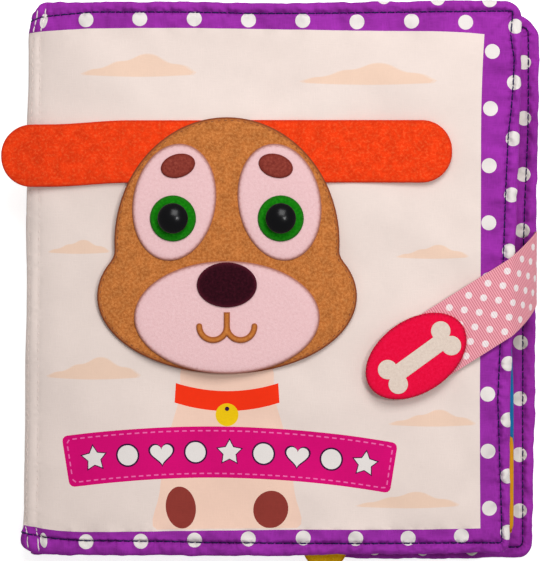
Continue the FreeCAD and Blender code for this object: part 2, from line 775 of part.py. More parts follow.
def make_mouth():
    """A plain smiling mouth in felt: two half rings side by side under a short upright line."""
    pieces = []
    for side, sign in SIDES:
        x = f"dims.head_middle + {sign} * dims.mouth_radius"
        rings = []
        for part, grow in (("outer", "+"), ("inner", "-")):
            half_disc = doc.addObject("Part::Cylinder", f"mouth_{side}_{part}")
            half_disc.Angle = 180
            radius = f"dims.mouth_radius {grow} dims.mouth_stroke / 2"
            half_disc.setExpression("Radius", radius)
            half_disc.setExpression("Height", "dims.felt_thickness")
            place(half_disc, x, "dims.mouth_level", PATCH_TOP, turn="180")
            rings.append(half_disc)
        ring = doc.addObject("Part::Cut", f"mouth_{side}_half_ring")
        ring.Base, ring.Tool = rings
        pieces.append(ring)
        tip = doc.addObject("Part::Cylinder", f"mouth_{side}_tip")
        tip.setExpression("Radius", "dims.mouth_stroke / 2")
        tip.setExpression("Height", "dims.felt_thickness")
        far = f"dims.head_middle + {sign} * 2 * dims.mouth_radius"
        place(tip, far, "dims.mouth_level", PATCH_TOP)
        pieces.append(tip)
    upright = doc.addObject("Part::Box", "mouth_upright")
    upright.setExpression("Length", "dims.mouth_stroke")
    upright.setExpression("Width", "dims.mouth_drop")
    upright.setExpression("Height", "dims.felt_thickness")
    place(upright, "dims.head_middle - dims.mouth_stroke / 2", "dims.mouth_level", PATCH_TOP)
    mouth = doc.addObject("Part::MultiFuse", "mouth")
    mouth.Shapes = pieces + [upright]
    mouth.Refine = True
    mouth.Label = "mouth"
    doc.recompute()


# ---------------------------------------------------------------- strap and badge


def make_discs():
    """The round hook and loop discs that hold the strap to the front cover."""
    for label, level in (("loop_disc", FRONT_TOP), ("hook_disc", HOOK_BOTTOM)):
        disc = doc.addObject("Part::Cylinder", label)
        disc.Label = label
        disc.setExpression("Radius", "dims.disc_radius")
        disc.setExpression("Height", "dims.disc_thickness")
        place(disc, "dims.badge_middle", "dims.badge_level", level)


def bone_solid(name, spare):
    """A bone lying along X: a shaft between two pairs of round lobes, grown by spare."""
    thick = "dims.badge_thickness"
    pieces = []
    for number, (along, across) in enumerate((a, b) for a in "-+" for b in "-+"):
        lobe = doc.addObject("Part::Cylinder", f"{name}_lobe_{number}")
        lobe.setExpression("Radius", f"dims.bone_lobe_radius + {spare}")
        lobe.setExpression("Height", thick)
        place(lobe, f"{along}dims.bone_half_span", f"{across}dims.bone_lobe_spread")
        pieces.append(lobe)
    shaft = doc.addObject("Part::Box", f"{name}_shaft")
    shaft.setExpression("Length", "2 * dims.bone_half_span")
    shaft.setExpression("Width", f"dims.bone_shaft_width + 2 * {spare}")
    shaft.setExpression("Height", thick)
    place(shaft, "-dims.bone_half_span", f"-dims.bone_shaft_width / 2 - {spare}")
    bone = doc.addObject("Part::MultiFuse", name)
    bone.Shapes = pieces + [shaft]
    bone.Refine = True
    return bone


def make_badge():
    """An oval felt badge on the strap's end, with a bone of pale felt let into it."""
    at = ("dims.badge_middle", "dims.badge_level", BADGE_BOTTOM)
    oval = doc.addObject("Part::Ellipse", "badge_outline")
    oval.setExpression("MajorRadius", "dims.badge_half_length")
    oval.setExpression("MinorRadius", "dims.badge_half_width")
    blank = doc.addObject("Part::Extrusion", "badge_blank")
    blank.Base = oval
    blank.DirMode = "Custom"
    blank.Dir = Vector(0, 0, 1)
    blank.Solid = True
    blank.setExpression("LengthFwd", "dims.badge_thickness")
    badge = doc.addObject("Part::Cut", "badge")
    badge.Base = blank
    badge.Tool = bone_solid("bone_opening", "dims.bone_clearance")
    badge.Label = "badge"
    place(badge, *at, turn="dims.badge_tilt")
    bone = bone_solid("bone", "0")
    bone.Label = "bone"
    place(bone, *at, turn="dims.badge_tilt")
    doc.recompute()


def strap_stations():
    """The strap's middle line seen along Y: (x, z, heading, distance from the badge's middle).

    It is walked from the free end, as lengths with the turn each makes, in radians.
    """
    steep, slope = math.radians(value("dims.crease_slope")), math.radians(value(APPROACH_SLOPE))
    quarter = math.pi / 2
    start = -2 * value("dims.disc_radius")
    walk = [
        (value(LEVEL_RUN) - start, 0, 1, slope),
        (value(APPROACH_RUN), 0, 1, 0),
        (value(CREASE_RUN), steep - slope, CREASE_STEPS, 0),
        (value(CHUTE_RUN), 0, 1, 0),
        (value(FALL_RUN), quarter - steep, FALL_STEPS, 0),
        (value(DROP_RUN), 0, 1, 0),
        (value(TURN_RUN), quarter, TURN_STEPS, 0),
        (value(ROOT_RUN), 0, 1, 0),
    ]
    x, z, heading, run = value("dims.badge_middle") + start, value(STRAP_LEVEL), 0.0, start
    stations = [(x, z, heading, run)]
    for length, turn, steps, kink in walk:
        radius = length / turn if turn else None
        for _ in range(steps):
            if radius:
                step = turn / steps
                chord = 2 * radius * math.sin(step / 2)
                x += chord * math.cos(heading + step / 2)
                z -= chord * math.sin(heading + step / 2)
                heading += step
            else:
                x += length * math.cos(heading)
                z -= length * math.sin(heading)
            run += length / steps
            stations.append((x, z, heading + kink / 2, run))
        heading += kink
    return stations


def make_strap():
    """The grosgrain strap: a slanted ribbon that bends only about lines along Y."""
    half_thick = value("dims.ribbon_thickness") / 2
    half_span, drift = value(STRAP_SPAN) / 2, value(STRAP_DRIFT)
    level = value("dims.badge_level")
    sections = []
    for x, z, heading, run in strap_stations():
        side = Vector(math.sin(heading), 0, math.cos(heading)) * half_thick
        middle = Vector(x, level + drift * run, z)
        along = Vector(0, half_span, 0)
        corners = [
            middle + side + along,
            middle + side - along,
            middle - side - along,
            middle - side + along,
        ]
        sections.append(Part.makePolygon(corners + corners[:1]))
    ribbon = Part.makeLoft(sections, True, True)
    reach = 3 * value("dims.badge_half_length")
    spare = Part.makeBox(reach, 2 * reach, reach, Vector(-reach, -reach, -reach / 2))
    spare.translate(Vector(-value("dims.strap_end"), 0, 0))
    turn = FreeCAD.Rotation(Vector(0, 0, 1), value("dims.strap_tilt"))
    middle = Vector(value("dims.badge_middle"), level, value(STRAP_LEVEL))
    spare.Placement = FreeCAD.Placement(middle, turn).multiply(spare.Placement)
    strap = doc.addObject("Part::Feature", "strap")
    strap.Label = "strap"
    strap.Shape = ribbon.cut(spare)
    strap.Placement = FreeCAD.Placement()


# ---------------------------------------------------------------- build and write

make_back_cover()
make_front_cover()
make_spine()
make_page_block()
make_page_tab()
make_head()
make_ear("left", "-dims.ear_reach", "-dims.ear_tuck", (True, False, False, True))
make_ear("right", "dims.ear_tuck", "dims.ear_reach", (False, True, True, False))
make_face()
make_mouth()
make_discs()
make_badge()
make_strap()

NODES = (
    "back_cover",
    "front_cover",
    "spine",
    "page_block",
    "page_tab",
    "head",
    "left_ear",
    "right_ear",
    "left_eye_patch",
    "right_eye_patch",
    "left_brow",
    "right_brow",
    "left_iris",
    "right_iris",
    "left_eye",
    "right_eye",
    "left_eye_washer",
    "right_eye_washer",
    "muzzle",
    "nose",
    "mouth",
    "loop_disc",
    "hook_disc",
    "strap",
    "badge",
    "bone",
)

doc.recompute()
for obj in doc.Objects:
    if "Invalid" in obj.State or "Error" in obj.State:
        raise RuntimeError(f"{obj.Name} failed: {obj.State}")
pieces = {name: doc.getObjectsByLabel(name)[0] for name in NODES}
for name, piece in pieces.items():
    shape = piece.Shape
    if shape.isNull() or not shape.isValid() or len(shape.Solids) != 1:
        raise RuntimeError(f"{name} isn't one valid solid")

os.makedirs("parts", exist_ok=True)
for name, piece in pieces.items():
    piece.Shape.exportStep(f"parts/{name}.step")
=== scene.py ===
"""How the soft baby book looks: printed cotton pads, felt, ribbon, threads and glossy eyes.

Lengths are millimetres in the CAD model's frame until mesh_object() turns them to metres.
"""

import math

import bpy
import numpy as np
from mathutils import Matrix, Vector
from mathutils.geometry import delaunay_2d_cdt
from mathutils.noise import noise


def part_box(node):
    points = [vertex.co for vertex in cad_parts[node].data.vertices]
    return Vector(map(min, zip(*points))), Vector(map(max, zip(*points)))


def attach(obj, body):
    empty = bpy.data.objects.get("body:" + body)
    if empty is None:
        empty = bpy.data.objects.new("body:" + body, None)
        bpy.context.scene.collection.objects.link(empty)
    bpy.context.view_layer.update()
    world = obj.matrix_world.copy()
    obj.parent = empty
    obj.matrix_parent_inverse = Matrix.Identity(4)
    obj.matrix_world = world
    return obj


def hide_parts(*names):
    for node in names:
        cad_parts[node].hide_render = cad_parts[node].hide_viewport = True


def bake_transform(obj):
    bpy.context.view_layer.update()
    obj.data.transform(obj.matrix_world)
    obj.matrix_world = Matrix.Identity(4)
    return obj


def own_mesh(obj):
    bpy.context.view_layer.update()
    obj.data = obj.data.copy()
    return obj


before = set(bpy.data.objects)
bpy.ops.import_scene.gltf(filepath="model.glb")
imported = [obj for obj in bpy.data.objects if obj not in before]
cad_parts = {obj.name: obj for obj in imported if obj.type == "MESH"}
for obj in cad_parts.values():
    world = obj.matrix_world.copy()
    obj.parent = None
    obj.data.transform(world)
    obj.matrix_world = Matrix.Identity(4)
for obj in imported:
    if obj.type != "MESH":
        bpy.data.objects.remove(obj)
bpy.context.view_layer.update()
MM = 0.001


def span(node):
    """A CAD node's lowest and highest corner, in millimetres."""
    low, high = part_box(node)
    return np.array(low) / MM, np.array(high) / MM


BACK_LOW, BACK_HIGH = span("back_cover")
FRONT_LOW, FRONT_HIGH = span("front_cover")
SPINE_LOW, SPINE_HIGH = span("spine")
BLOCK_LOW, BLOCK_HIGH = span("page_block")

# ---------------------------------------------------------------- plane geometry


def ellipse(x, y, half_width, half_height, lean=0.0, count=120):
    turn = np.arange(count) * 2 * math.pi / count
    a, b = half_width * np.cos(turn), half_height * np.sin(turn)
    c, s = math.cos(math.radians(lean)), math.sin(math.radians(lean))
    return np.column_stack([x + a * c - b * s, y + a * s + b * c])


def circle(x, y, radius, count=26):
    return ellipse(x, y, radius, radius, 0, count)


def rounded_box(low, high, radii, step):
    """A rectangle's outline with four corner radii, anticlockwise from low left, in steps."""
    (x0, y0), (x1, y1) = low[:2], high[:2]
    loop = []
    corners = ((x0, y0, 1, 1), (x1, y0, -1, 1), (x1, y1, -1, -1), (x0, y1, 1, -1))
    for i, (x, y, sx, sy) in enumerate(corners):
        r = max(radii[i], 1e-3)
        start = math.pi + i * math.pi / 2
        steps = max(2, int(r * math.pi / 2 / (step / 2)))
        for k in range(steps + 1):
            turn = start + k * math.pi / 2 / steps
            loop.append((x + sx * r + r * math.cos(turn), y + sy * r + r * math.sin(turn)))
    return resample(np.array(loop), step)


def resample(loop, step):
    """Adds points to a closed loop's long sides, so that none is longer than step."""
    out = []
    for a, b in zip(loop, np.roll(loop, -1, axis=0)):
        count = max(1, int(math.ceil(np.linalg.norm(b - a) / step - 1e-6)))
        out += [a + (b - a) * k / count for k in range(count)]
    return np.array(out)


def smooth_loop(points, count=8):
    """A closed Catmull-Rom curve through a few given points."""
    p = np.array(points, float)
    before, after, second = np.roll(p, 1, 0), np.roll(p, -1, 0), np.roll(p, -2, 0)
    out = []
    for a, b, c, d in zip(before, p, after, second):
        for k in range(count):
            s = k / count
            out.append(
                0.5 * (2 * b + (c - a) * s + (2 * a - 5 * b + 4 * c - d) * s**2
                       + (3 * b - a - 3 * c + d) * s**3)
            )
    return np.array(out)


def inside(points, loop):
    """Which points a closed loop holds."""
    held = np.zeros(len(points), bool)
    low, high = loop.min(0), loop.max(0)
    near = np.flatnonzero(((points >= low) & (points <= high)).all(1))
    if not len(near):
        return held
    x, y = points[near].T
    crossings = np.zeros(len(near), int)
    for (ax, ay), (bx, by) in zip(loop, np.roll(loop, -1, axis=0)):
        if ay != by:
            crosses = (ay > y) != (by > y)
            crossings += crosses & (x < (bx - ax) * (y - ay) / (by - ay) + ax)
    held[near] = crossings % 2 == 1
    return held


def edge_place(points, outline):
    """Each point's distance from a closed anticlockwise outline, its place along it, and
    the way out of it there."""
    best, along = np.full(len(points), 1e9), np.zeros(len(points))
    outwards = np.zeros((len(points), 2))
    passed = 0.0
    for a, b in zip(outline, np.roll(outline, -1, axis=0)):
        d = b - a
        length = float(np.linalg.norm(d))
        t = np.clip(((points - a) @ d) / max(d @ d, 1e-12), 0, 1)
        far = np.linalg.norm(points - a - t[:, None] * d, axis=1)
        nearer = far < best
        best[nearer], along[nearer] = far[nearer], (passed + t * length)[nearer]
        outwards[nearer] = np.array([d[1], -d[0]]) / max(length, 1e-9)
        passed += length
    return best, along, outwards


def inset(loop, depth):
    """A closed anticlockwise loop moved inwards, for small depths."""
    along = np.roll(loop, -1, 0) - np.roll(loop, 1, 0)
    along /= np.maximum(np.linalg.norm(along, axis=1), 1e-9)[:, None]
    return loop + depth * np.column_stack([-along[:, 1], along[:, 0]])


def grid(low, high, step):
    """Points in staggered rows over a rectangle."""
    out = []
    for j, y in enumerate(np.arange(low[1], high[1], step * 0.87)):
        xs = np.arange(low[0] + (j % 2) * step / 2, high[0], step)
        out.append(np.column_stack([xs, np.full(len(xs), y)]))
    return np.vstack(out)


def triangulate(outline, loops, seeds, clear=0.35):
    """Triangles of the plane inside outline, with every loop's line among their sides."""
    lines = [outline, *loops]
    on_lines = np.vstack(lines)
    cells = {tuple(c) for c in np.floor(on_lines / clear).astype(int)}
    keys = np.floor(seeds / clear).astype(int)
    seeds = seeds[[tuple(k) not in cells for k in keys]] if len(seeds) else seeds
    seeds = seeds[inside(seeds, outline)] if len(seeds) else seeds
    edges = []
    for line in lines:
        first, count = len(edges), len(line)
        edges += [(first + i, first + (i + 1) % count) for i in range(count)]
    given = np.vstack([on_lines, seeds]) if len(seeds) else on_lines
    found = delaunay_2d_cdt([Vector(p) for p in given], edges, [], 1, 1e-5)
    points = np.array([given[i[0]] if i else tuple(p) for p, i in zip(found[0], found[3])])
    faces = np.array(found[2])
    used = np.unique(faces)
    renumber = np.zeros(len(points), int)
    renumber[used] = np.arange(len(used))
    points, faces = points[used], renumber[faces]
    a, b, c = points[faces[:, 0]], points[faces[:, 1]], points[faces[:, 2]]
    area = (b - a)[:, 0] * (c - a)[:, 1] - (b - a)[:, 1] * (c - a)[:, 0]
    faces[area < 0] = faces[area < 0][:, ::-1]
    return points, faces[np.abs(area) > 1e-9]


def paint(points, faces, regions, base=0):
    """Each face's material number: that of the last region that holds its middle."""
    middles = points[faces].mean(1)
    found = np.full(len(faces), base)
    for loop, number in regions:
        found[inside(middles, loop)] = number
    return found


def smooth(t):
    t = np.clip(t, 0, 1)
    return t * t * (3 - 2 * t)


def ripple(x, y, size, seed=0.0):
    """Smooth noise from -1 to 1 over the plane, with bumps of about that size."""
    return np.array([noise((a / size, b / size, seed)) for a, b in zip(x, y)])


# ---------------------------------------------------------------- meshes


def linked(name, data):
    """A new object in the scene, made of that data."""
    obj = bpy.data.objects.new(name, data)
    bpy.context.scene.collection.objects.link(obj)
    return obj


def plain_mesh(name, points, faces):
    """A mesh with its points as they are given."""
    mesh = bpy.data.meshes.new(name)
    mesh.from_pydata([tuple(p) for p in points], [], faces)
    return mesh


PAD_APART, FELT_APART, RIBBON_APART = (600, 0), (300, 0), (0, 60)  # an under side's flat cloth


def mesh_object(name, points, faces, flat, materials, numbers=None, rim=None):
    """A welded, smooth mesh, from points in millimetres.

    flat is where each point lies on the flat cloth, numbers are the faces' places in
    materials, and rim is 1 where a cut edge is browned.
    """
    points = np.asarray(points, float)
    _, first, back = np.unique(np.round(points, 4), axis=0, return_index=True, return_inverse=True)
    back = back.reshape(-1)
    corners = [tuple(f) for f in faces]
    kept = [i for i, f in enumerate(corners) if len({back[v] for v in f}) == len(f)]
    mesh = plain_mesh(name, points[first] * MM, [[int(back[v]) for v in corners[i]] for i in kept])
    mesh.polygons.foreach_set("use_smooth", [True] * len(kept))
    for material in materials:
        mesh.materials.append(material)
    if numbers is not None:
        mesh.polygons.foreach_set("material_index", [int(numbers[i]) for i in kept])
    cloth = np.array([flat[v] for i in kept for v in corners[i]]) * MM
    mesh.uv_layers.new(name="cloth").data.foreach_set("uv", cloth.ravel())
    if rim is not None:
        attribute = mesh.attributes.new("rim", "FLOAT", "POINT")
        attribute.data.foreach_set("value", np.asarray(rim, float)[first])
    mesh.update()
    mesh.validate()
    return linked(name, mesh)


# ---------------------------------------------------------------- simulated creases


SIM_SCALE = 10  # the cloth is simulated at ten times its size
SIM_FRAMES = 14
START_LUMPS = 0.12  # how high the cloth's first unevenness is, in steps of the grid


def crumple(rows, columns, step, held_rows, ends_held, spare, cap):
    """Heights of a grid of cloth that has spare cloth between its held rows and ends."""
    held = np.zeros((rows, columns), bool)
    held[list(held_rows)] = True
    held[:, [0, -1]] |= ends_held
    y, x = np.mgrid[0:rows, 0:columns] * step
    start = ripple(x.ravel(), y.ravel(), 6 * step, 3.1) * START_LUMPS * step * SIM_SCALE * MM
    start[held.ravel()] = 0
    index = np.arange(rows * columns).reshape(rows, columns)
    quads = np.stack([index[:-1, :-1], index[:-1, 1:], index[1:, 1:], index[1:, :-1]], -1)
    spread = SIM_SCALE * MM
    grid_points = np.column_stack([x.ravel() * spread, y.ravel() * spread, start])
    obj = linked("crumple", plain_mesh("crumple", grid_points, quads.reshape(-1, 4).tolist()))
    group = obj.vertex_groups.new(name="held")
    group.add([int(i) for i in index[held]], 1.0, "REPLACE")
    cloth = obj.modifiers.new("cloth", "CLOTH")
    cloth.settings.vertex_group_mass = "held"
    cloth.settings.quality = 6
    cloth.settings.shrink_min = -spare
    cloth.settings.bending_stiffness = 0.05
    cloth.settings.effector_weights.gravity = 0
    cloth.collision_settings.use_collision = False
    cloth.point_cache.frame_end = SIM_FRAMES
    for moment in range(1, SIM_FRAMES + 1):
        bpy.context.scene.frame_set(moment)
    done = obj.evaluated_get(bpy.context.evaluated_depsgraph_get()).to_mesh()
    found = np.empty(len(done.vertices) * 3)
    done.vertices.foreach_get("co", found)
    bpy.data.objects.remove(obj)
    bpy.context.scene.frame_set(1)
    return np.clip(found[2::3].reshape(rows, columns) / (SIM_SCALE * MM), -cap, cap)


def sampled(heights, step, across, along, wraps=False):
    """Heights between the grid's points, at distances across its rows and along its columns."""
    rows, columns = heights.shape
    i = np.clip(across / step, 0, rows - 1.001)
    j = along / step
    j = np.mod(j, columns - 1) if wraps else np.clip(j, 0, columns - 1.001)
    i0, j0 = i.astype(int), j.astype(int)
    fi, fj = i - i0, j - j0
    low = heights[i0, j0] * (1 - fj) + heights[i0, j0 + 1] * fj
    high = heights[i0 + 1, j0] * (1 - fj) + heights[i0 + 1, j0 + 1] * fj
    return low * (1 - fi) + high * fi


STITCH_INSET, STITCH_PITCH = 3.75, 3.2
HEM_STEP, WIDE_STEP = 1.25, 5.0
# Puckers of the cloth beside a topstitch, as rows of distance from the pad's edge, and
# long soft wrinkles of a whole panel.
HEM_CREASES = crumple(13, 561, HEM_STEP, (0, 3, -1), False, 0.035, 0.8)
WIDE_CREASES = crumple(45, 49, WIDE_STEP, (0, -1), True, 0.006, 1.5)

# ---------------------------------------------------------------- padded panels

BESIDE_STITCH = 0.3  # how much lower the cloth lies within the topstitch than at full height
CHANNEL_HALF, PIT_HALF = 0.8, 1.3  # half widths of the topstitch's line and of its holes
# How strong the puckers are outside the topstitch, and the finer ones beside it, how far from
# the edge they end, and how strong the wrinkles of an inner sheet are.
RIM_PUCKERS, FINE_PUCKERS, PUCKERS_END, INNER_WRINKLES = 1.5, 0.45, 13, 0.55
EDGE_RINGS = (0.15, 0.4, 0.8, 1.3, 1.9, 2.5, 3.0, 3.35, 3.7, 4.05, 4.4, 4.9, 5.6, 6.6, 8.0, 9.8)


class Pad:
    """A flat padded panel: two sheets sewn together round an outline, and topstitched.

    low, high and corner give the outline. place(points, depth) gives the space point that
    lies depth under the outer sheet, and thick is how far apart the sheets are, at full
    height. crease scales the puckers and the wrinkles, which start at offset along their
    grids. channel and pit are the depths of the topstitch's line and holes.
    """

    def __init__(
        self, low, high, corner, step, place, thick, crease, offset, channel=1.45, pit=0.6
    ):
        self.outline, self.corner = rounded_box(low, high, corner, step), corner
        self.place, self.thick = place, thick
        self.crease, self.offset, self.channel, self.pit = crease, offset, channel, pit

    def depth(self, points, outer):
        """How far each point of one sheet lies under that sheet's own flat level, how much
        its creases push it out, and the way out of the outline there."""
        d, s, outwards = edge_place(points, self.outline)
        inwards = d - STITCH_INSET
        half = self.thick(points) / 2
        bulge = np.sqrt(1 - (1 - np.clip(d / half, 0, 1)) ** 2)
        line = np.exp(-((inwards / CHANNEL_HALF) ** 2))
        holes = (0.5 + 0.5 * np.cos(2 * math.pi * s / STITCH_PITCH)) ** 3
        line += self.pit * holes * np.exp(-((inwards / PIT_HALF) ** 2))
        pull = self.pull(points)
        line *= pull
        s = s + self.offset
        hem = sampled(HEM_CREASES, HEM_STEP, d, s, wraps=True) * self.crease[0]
        fine = sampled(HEM_CREASES, HEM_STEP, 4 + 1.4 * d, 2.3 * s, wraps=True) * self.crease[0]
        hem = hem * np.where(d < STITCH_INSET, RIM_PUCKERS, smooth((PUCKERS_END - d) / 6))
        hem += fine * FINE_PUCKERS * np.exp(-(((inwards + 0.8) / 2.4) ** 2))
        x, y = (points - self.outline.min(0)).T
        across, along = (x, y) if outer else (y, x)
        wide = sampled(WIDE_CREASES, WIDE_STEP, across, along) * self.crease[1]
        wide *= 1.0 if outer else INNER_WRINKLES
        wide *= smooth(inwards / 14) * (0.25 + 0.75 * pull)
        puff = hem * (1 - 0.7 * line) * (0.3 + 0.7 * pull)
        beside = BESIDE_STITCH * smooth(inwards / 3)
        pressed = self.channel * line + beside + self.groove(points) - puff
        return half * (1 - bulge) + pressed * bulge - wide, puff * (1 - bulge), outwards

    def flattened(self, loop):
        """The loop on the flat cloth that shows as the given one when the cloth is placed."""
        flat = np.array(loop, float)
        for _ in range(14):
            flat += loop - self.place(flat, np.zeros(len(flat)))[:, :2]
        return flat

    def groove(self, points):
        """How deep the panel's other seams press its cloth in."""
        return np.zeros(len(points))

    def pull(self, points):
        """How strongly the topstitch pulls the cloth in and puckers it."""
        return np.ones(len(points))

    def surface(self, points, lift=0.0, outer=True):
        """The space points of one sheet, raised off it by lift."""
        points = np.asarray(points, float)
        depth, push, outwards = self.depth(points, outer)
        depth = depth - lift
        moved = points + push[:, None] * outwards
        return self.place(moved, depth if outer else self.thick(points) - depth)

    def seeds(self, step, along):
        """Places for the mesh's points: rings along the edge, and a grid within them."""
        low, high = self.outline.min(0), self.outline.max(0)
        found = []
        for depth in EDGE_RINGS:
            corner = [max(r - depth, 0.4) for r in self.corner]
            beside = abs(depth - STITCH_INSET) < 1.3
            found.append(
                rounded_box(low + depth, high - depth, corner, along / (2 if beside else 1))
            )
        return np.vstack([*found, grid(low + 11.2, high - 11.2, step)])

    def build(self, name, materials, outer, inner, seeds, slot, fill, *nodes):
        """One closed mesh that stands for the nodes. outer and inner are each sheet's printed
        loops with their materials' numbers, and the number of the rest."""
        points, faces, numbers, flat, first = [], [], [], [], 0
        for is_outer, (regions, base) in ((True, outer), (False, inner)):
            plan, cells = triangulate(self.outline, [loop for loop, _ in regions], seeds)
            numbers.append(paint(plan, cells, regions, base))
            points.append(self.surface(plan, 0.0, is_outer))
            flat.append(plan if is_outer else plan + PAD_APART)
            faces.append((cells if is_outer else cells[:, ::-1]) + first)
            first += len(plan)
        points, faces, flat, numbers = map(np.concatenate, (points, faces, flat, numbers))
        piece = mesh_object(name, points, faces, flat, materials, numbers)
        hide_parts(*nodes)
        return piece

    def sewn(self, name, line, thread, size, outer=True, closed=True, in_holes=True):
        """Stitches along a line on one of the sheets, which may end in the topstitch's holes."""
        return stitches(
            name, lambda p, lift: self.surface(p, lift, outer), line, thread, *size, closed,
            (lambda p: edge_place(p, self.outline)[1]) if in_holes else None,
        )


def tubes(centres, ups, radius):
    """Points, faces and flat places of many short rods. centres is rods by stations by 3."""
    rods, stations = centres.shape[:2]
    sides = 6
    along = np.gradient(centres, axis=1)
    along /= np.maximum(np.linalg.norm(along, axis=2), 1e-9)[..., None]
    side = np.cross(along, ups)
    side /= np.maximum(np.linalg.norm(side, axis=2), 1e-9)[..., None]
    up = np.cross(side, along)
    turn = np.arange(sides) * 2 * math.pi / sides
    widths = radius * np.sqrt(np.clip(1 - np.linspace(-0.97, 0.97, stations) ** 6, 0.05, 1))
    points = centres[:, :, None] + widths[None, :, None, None] * (
        np.cos(turn)[None, None, :, None] * side[:, :, None]
        + np.sin(turn)[None, None, :, None] * up[:, :, None]
    )
    faces, block = [], stations * sides
    for base in range(0, rods * block, block):
        for i in range(base, base + block - sides, sides):
            for k in range(sides):
                a, b = i + k, i + (k + 1) % sides
                faces.append((a, b, b + sides, a + sides))
        faces.append(tuple(base + k for k in reversed(range(sides))))
        faces.append(tuple(base + block - sides + k for k in range(sides)))
    count = rods * stations
    flat = np.column_stack([np.repeat(np.arange(count) * 0.7, sides), np.tile(turn, count)])
    return points.reshape(-1, 3), faces, flat


def walk(path, step, closed=False):
    """Points every step along a line, with its own corners passed by."""
    path = np.asarray(path, float)
    if closed:
        path = np.vstack([path, path[:1]])
    lengths = np.linalg.norm(np.diff(path, axis=0), axis=1)
    at = np.concatenate([[0], np.cumsum(lengths)])
    wanted = np.arange(0, at[-1], step)
    return np.column_stack([np.interp(wanted, at, path[:, k]) for k in (0, 1)])


FINE = 0.1  # how far apart the points are that stitches are picked from
STITCH_LIFT = np.array([-0.5, 0.4, 0.65, 0.7, 0.65, 0.4, -0.5])  # along a stitch, in radii


def stitches(name, surface, path, material, length, gap, radius, closed=False, along=None):
    """A row of sewn stitches that lie on a surface along a line, and dip in at their ends.

    along(points) tells how far round its pad each point is, so that stitches end in holes.
    """
    line = walk(path, FINE, closed)
    if along is None:
        ends = np.arange(0, len(line), int(round((length + gap) / FINE)))
    else:
        passed = np.flatnonzero(np.diff(np.floor(along(line) / (length + gap))) != 0)
        ends = [passed[0]]
        for end in passed[1:]:
            if end - ends[-1] > 1.5 / FINE:
                ends.append(end)
        ends = np.array(ends)
    margin = gap / 2 / FINE
    steps = np.linspace(0, 1, len(STITCH_LIFT))
    picks = ends[:-1, None] + margin + steps[None, :] * (np.diff(ends)[:, None] - 2 * margin)
    flat = line[picks.ravel().astype(int)]
    flat = flat + 0.06 * np.sin(picks.ravel() * 0.37)[:, None]
    lift = np.tile(radius * STITCH_LIFT, len(picks))
    low, high = surface(flat, lift), surface(flat, lift + 0.5)
    shape = (*picks.shape, 3)
    points, faces, uv = tubes(low.reshape(shape), (high - low).reshape(shape), radius)
    return mesh_object(name, points, faces, uv, [material])


# ---------------------------------------------------------------- materials


def srgb(red, green, blue):
    """A colour given as it shows on a screen, from 0 to 255."""
    parts = [c / 255 for c in (red, green, blue)]
    return [c / 12.92 if c <= 0.04045 else ((c + 0.055) / 1.055) ** 2.4 for c in parts] + [1.0]


def shaded(colour, factor):
    return [min(c * factor, 1.0) for c in colour[:3]] + [1.0]


class Finish:
    """A material, with short calls for the nodes it is made of."""

    def __init__(self, name, roughness, **sockets):
        self.material = bpy.data.materials.new(name)
        self.material.use_nodes = True
        self.tree = self.material.node_tree
        self.shader = self.tree.nodes["Principled BSDF"]
        self.feed(self.shader, Roughness=roughness, **sockets)

    def give(self, socket, given):
        """Sets a socket to a number or colour, or links another node's socket to it."""
        if isinstance(given, bpy.types.NodeSocket):
            self.tree.links.new(given, socket)
        else:
            socket.default_value = given

    def feed(self, node, **sockets):
        for name, given in sockets.items():
            self.give(node.inputs[name.replace("_", " ")], given)

    def node(self, kind, **sockets):
        node = self.tree.nodes.new("ShaderNode" + kind)
        self.feed(node, **sockets)
        return node

    def cloth_place(self, x=1.0, y=1.0):
        """The flat cloth's own coordinates, in metres, stretched by x and y."""
        place = self.node("UVMap")
        place.uv_map = "cloth"
        return self.node("Mapping", Vector=place.outputs["UV"], Scale=(x, y, 1)).outputs["Vector"]

    def noise(self, place, scale, detail=3.0, rough=0.55):
        sockets = {"Vector": place, "Scale": scale, "Detail": detail, "Roughness": rough}
        return self.node("TexNoise", **sockets).outputs["Fac"]

    def ramp(self, factor, *stops):
        """A colour between stops, which are places from 0 to 1 and their colours."""
        node = self.node("ValToRGB", Fac=factor)
        ramp = node.color_ramp
        while len(ramp.elements) < len(stops):
            ramp.elements.new(0.5)
        for element, (place, colour) in zip(ramp.elements, stops):
            element.position, element.color = place, colour
        return node.outputs["Color"]

    def blend(self, factor, first, second):
        node = self.node("Mix")
        node.data_type = "RGBA"
        for socket, given in zip([i for i in node.inputs if i.type == "RGBA"], (first, second)):
            self.give(socket, given)
        self.give(node.inputs["Factor"], factor)
        return next(o for o in node.outputs if o.type == "RGBA")

    def calc(self, kind, first, second):
        node = self.node("Math")
        node.operation = kind
        for socket, given in zip(node.inputs, (first, second)):
            self.give(socket, given)
        return node.outputs[0]

    def done(self, colour, height, strength, distance):
        """The material, with its colour and with a bump of that height."""
        bump = self.node("Bump", Strength=strength, Distance=distance * MM, Height=height)
        self.feed(self.shader, Base_Color=colour, Normal=bump.outputs["Normal"])
        return self.material


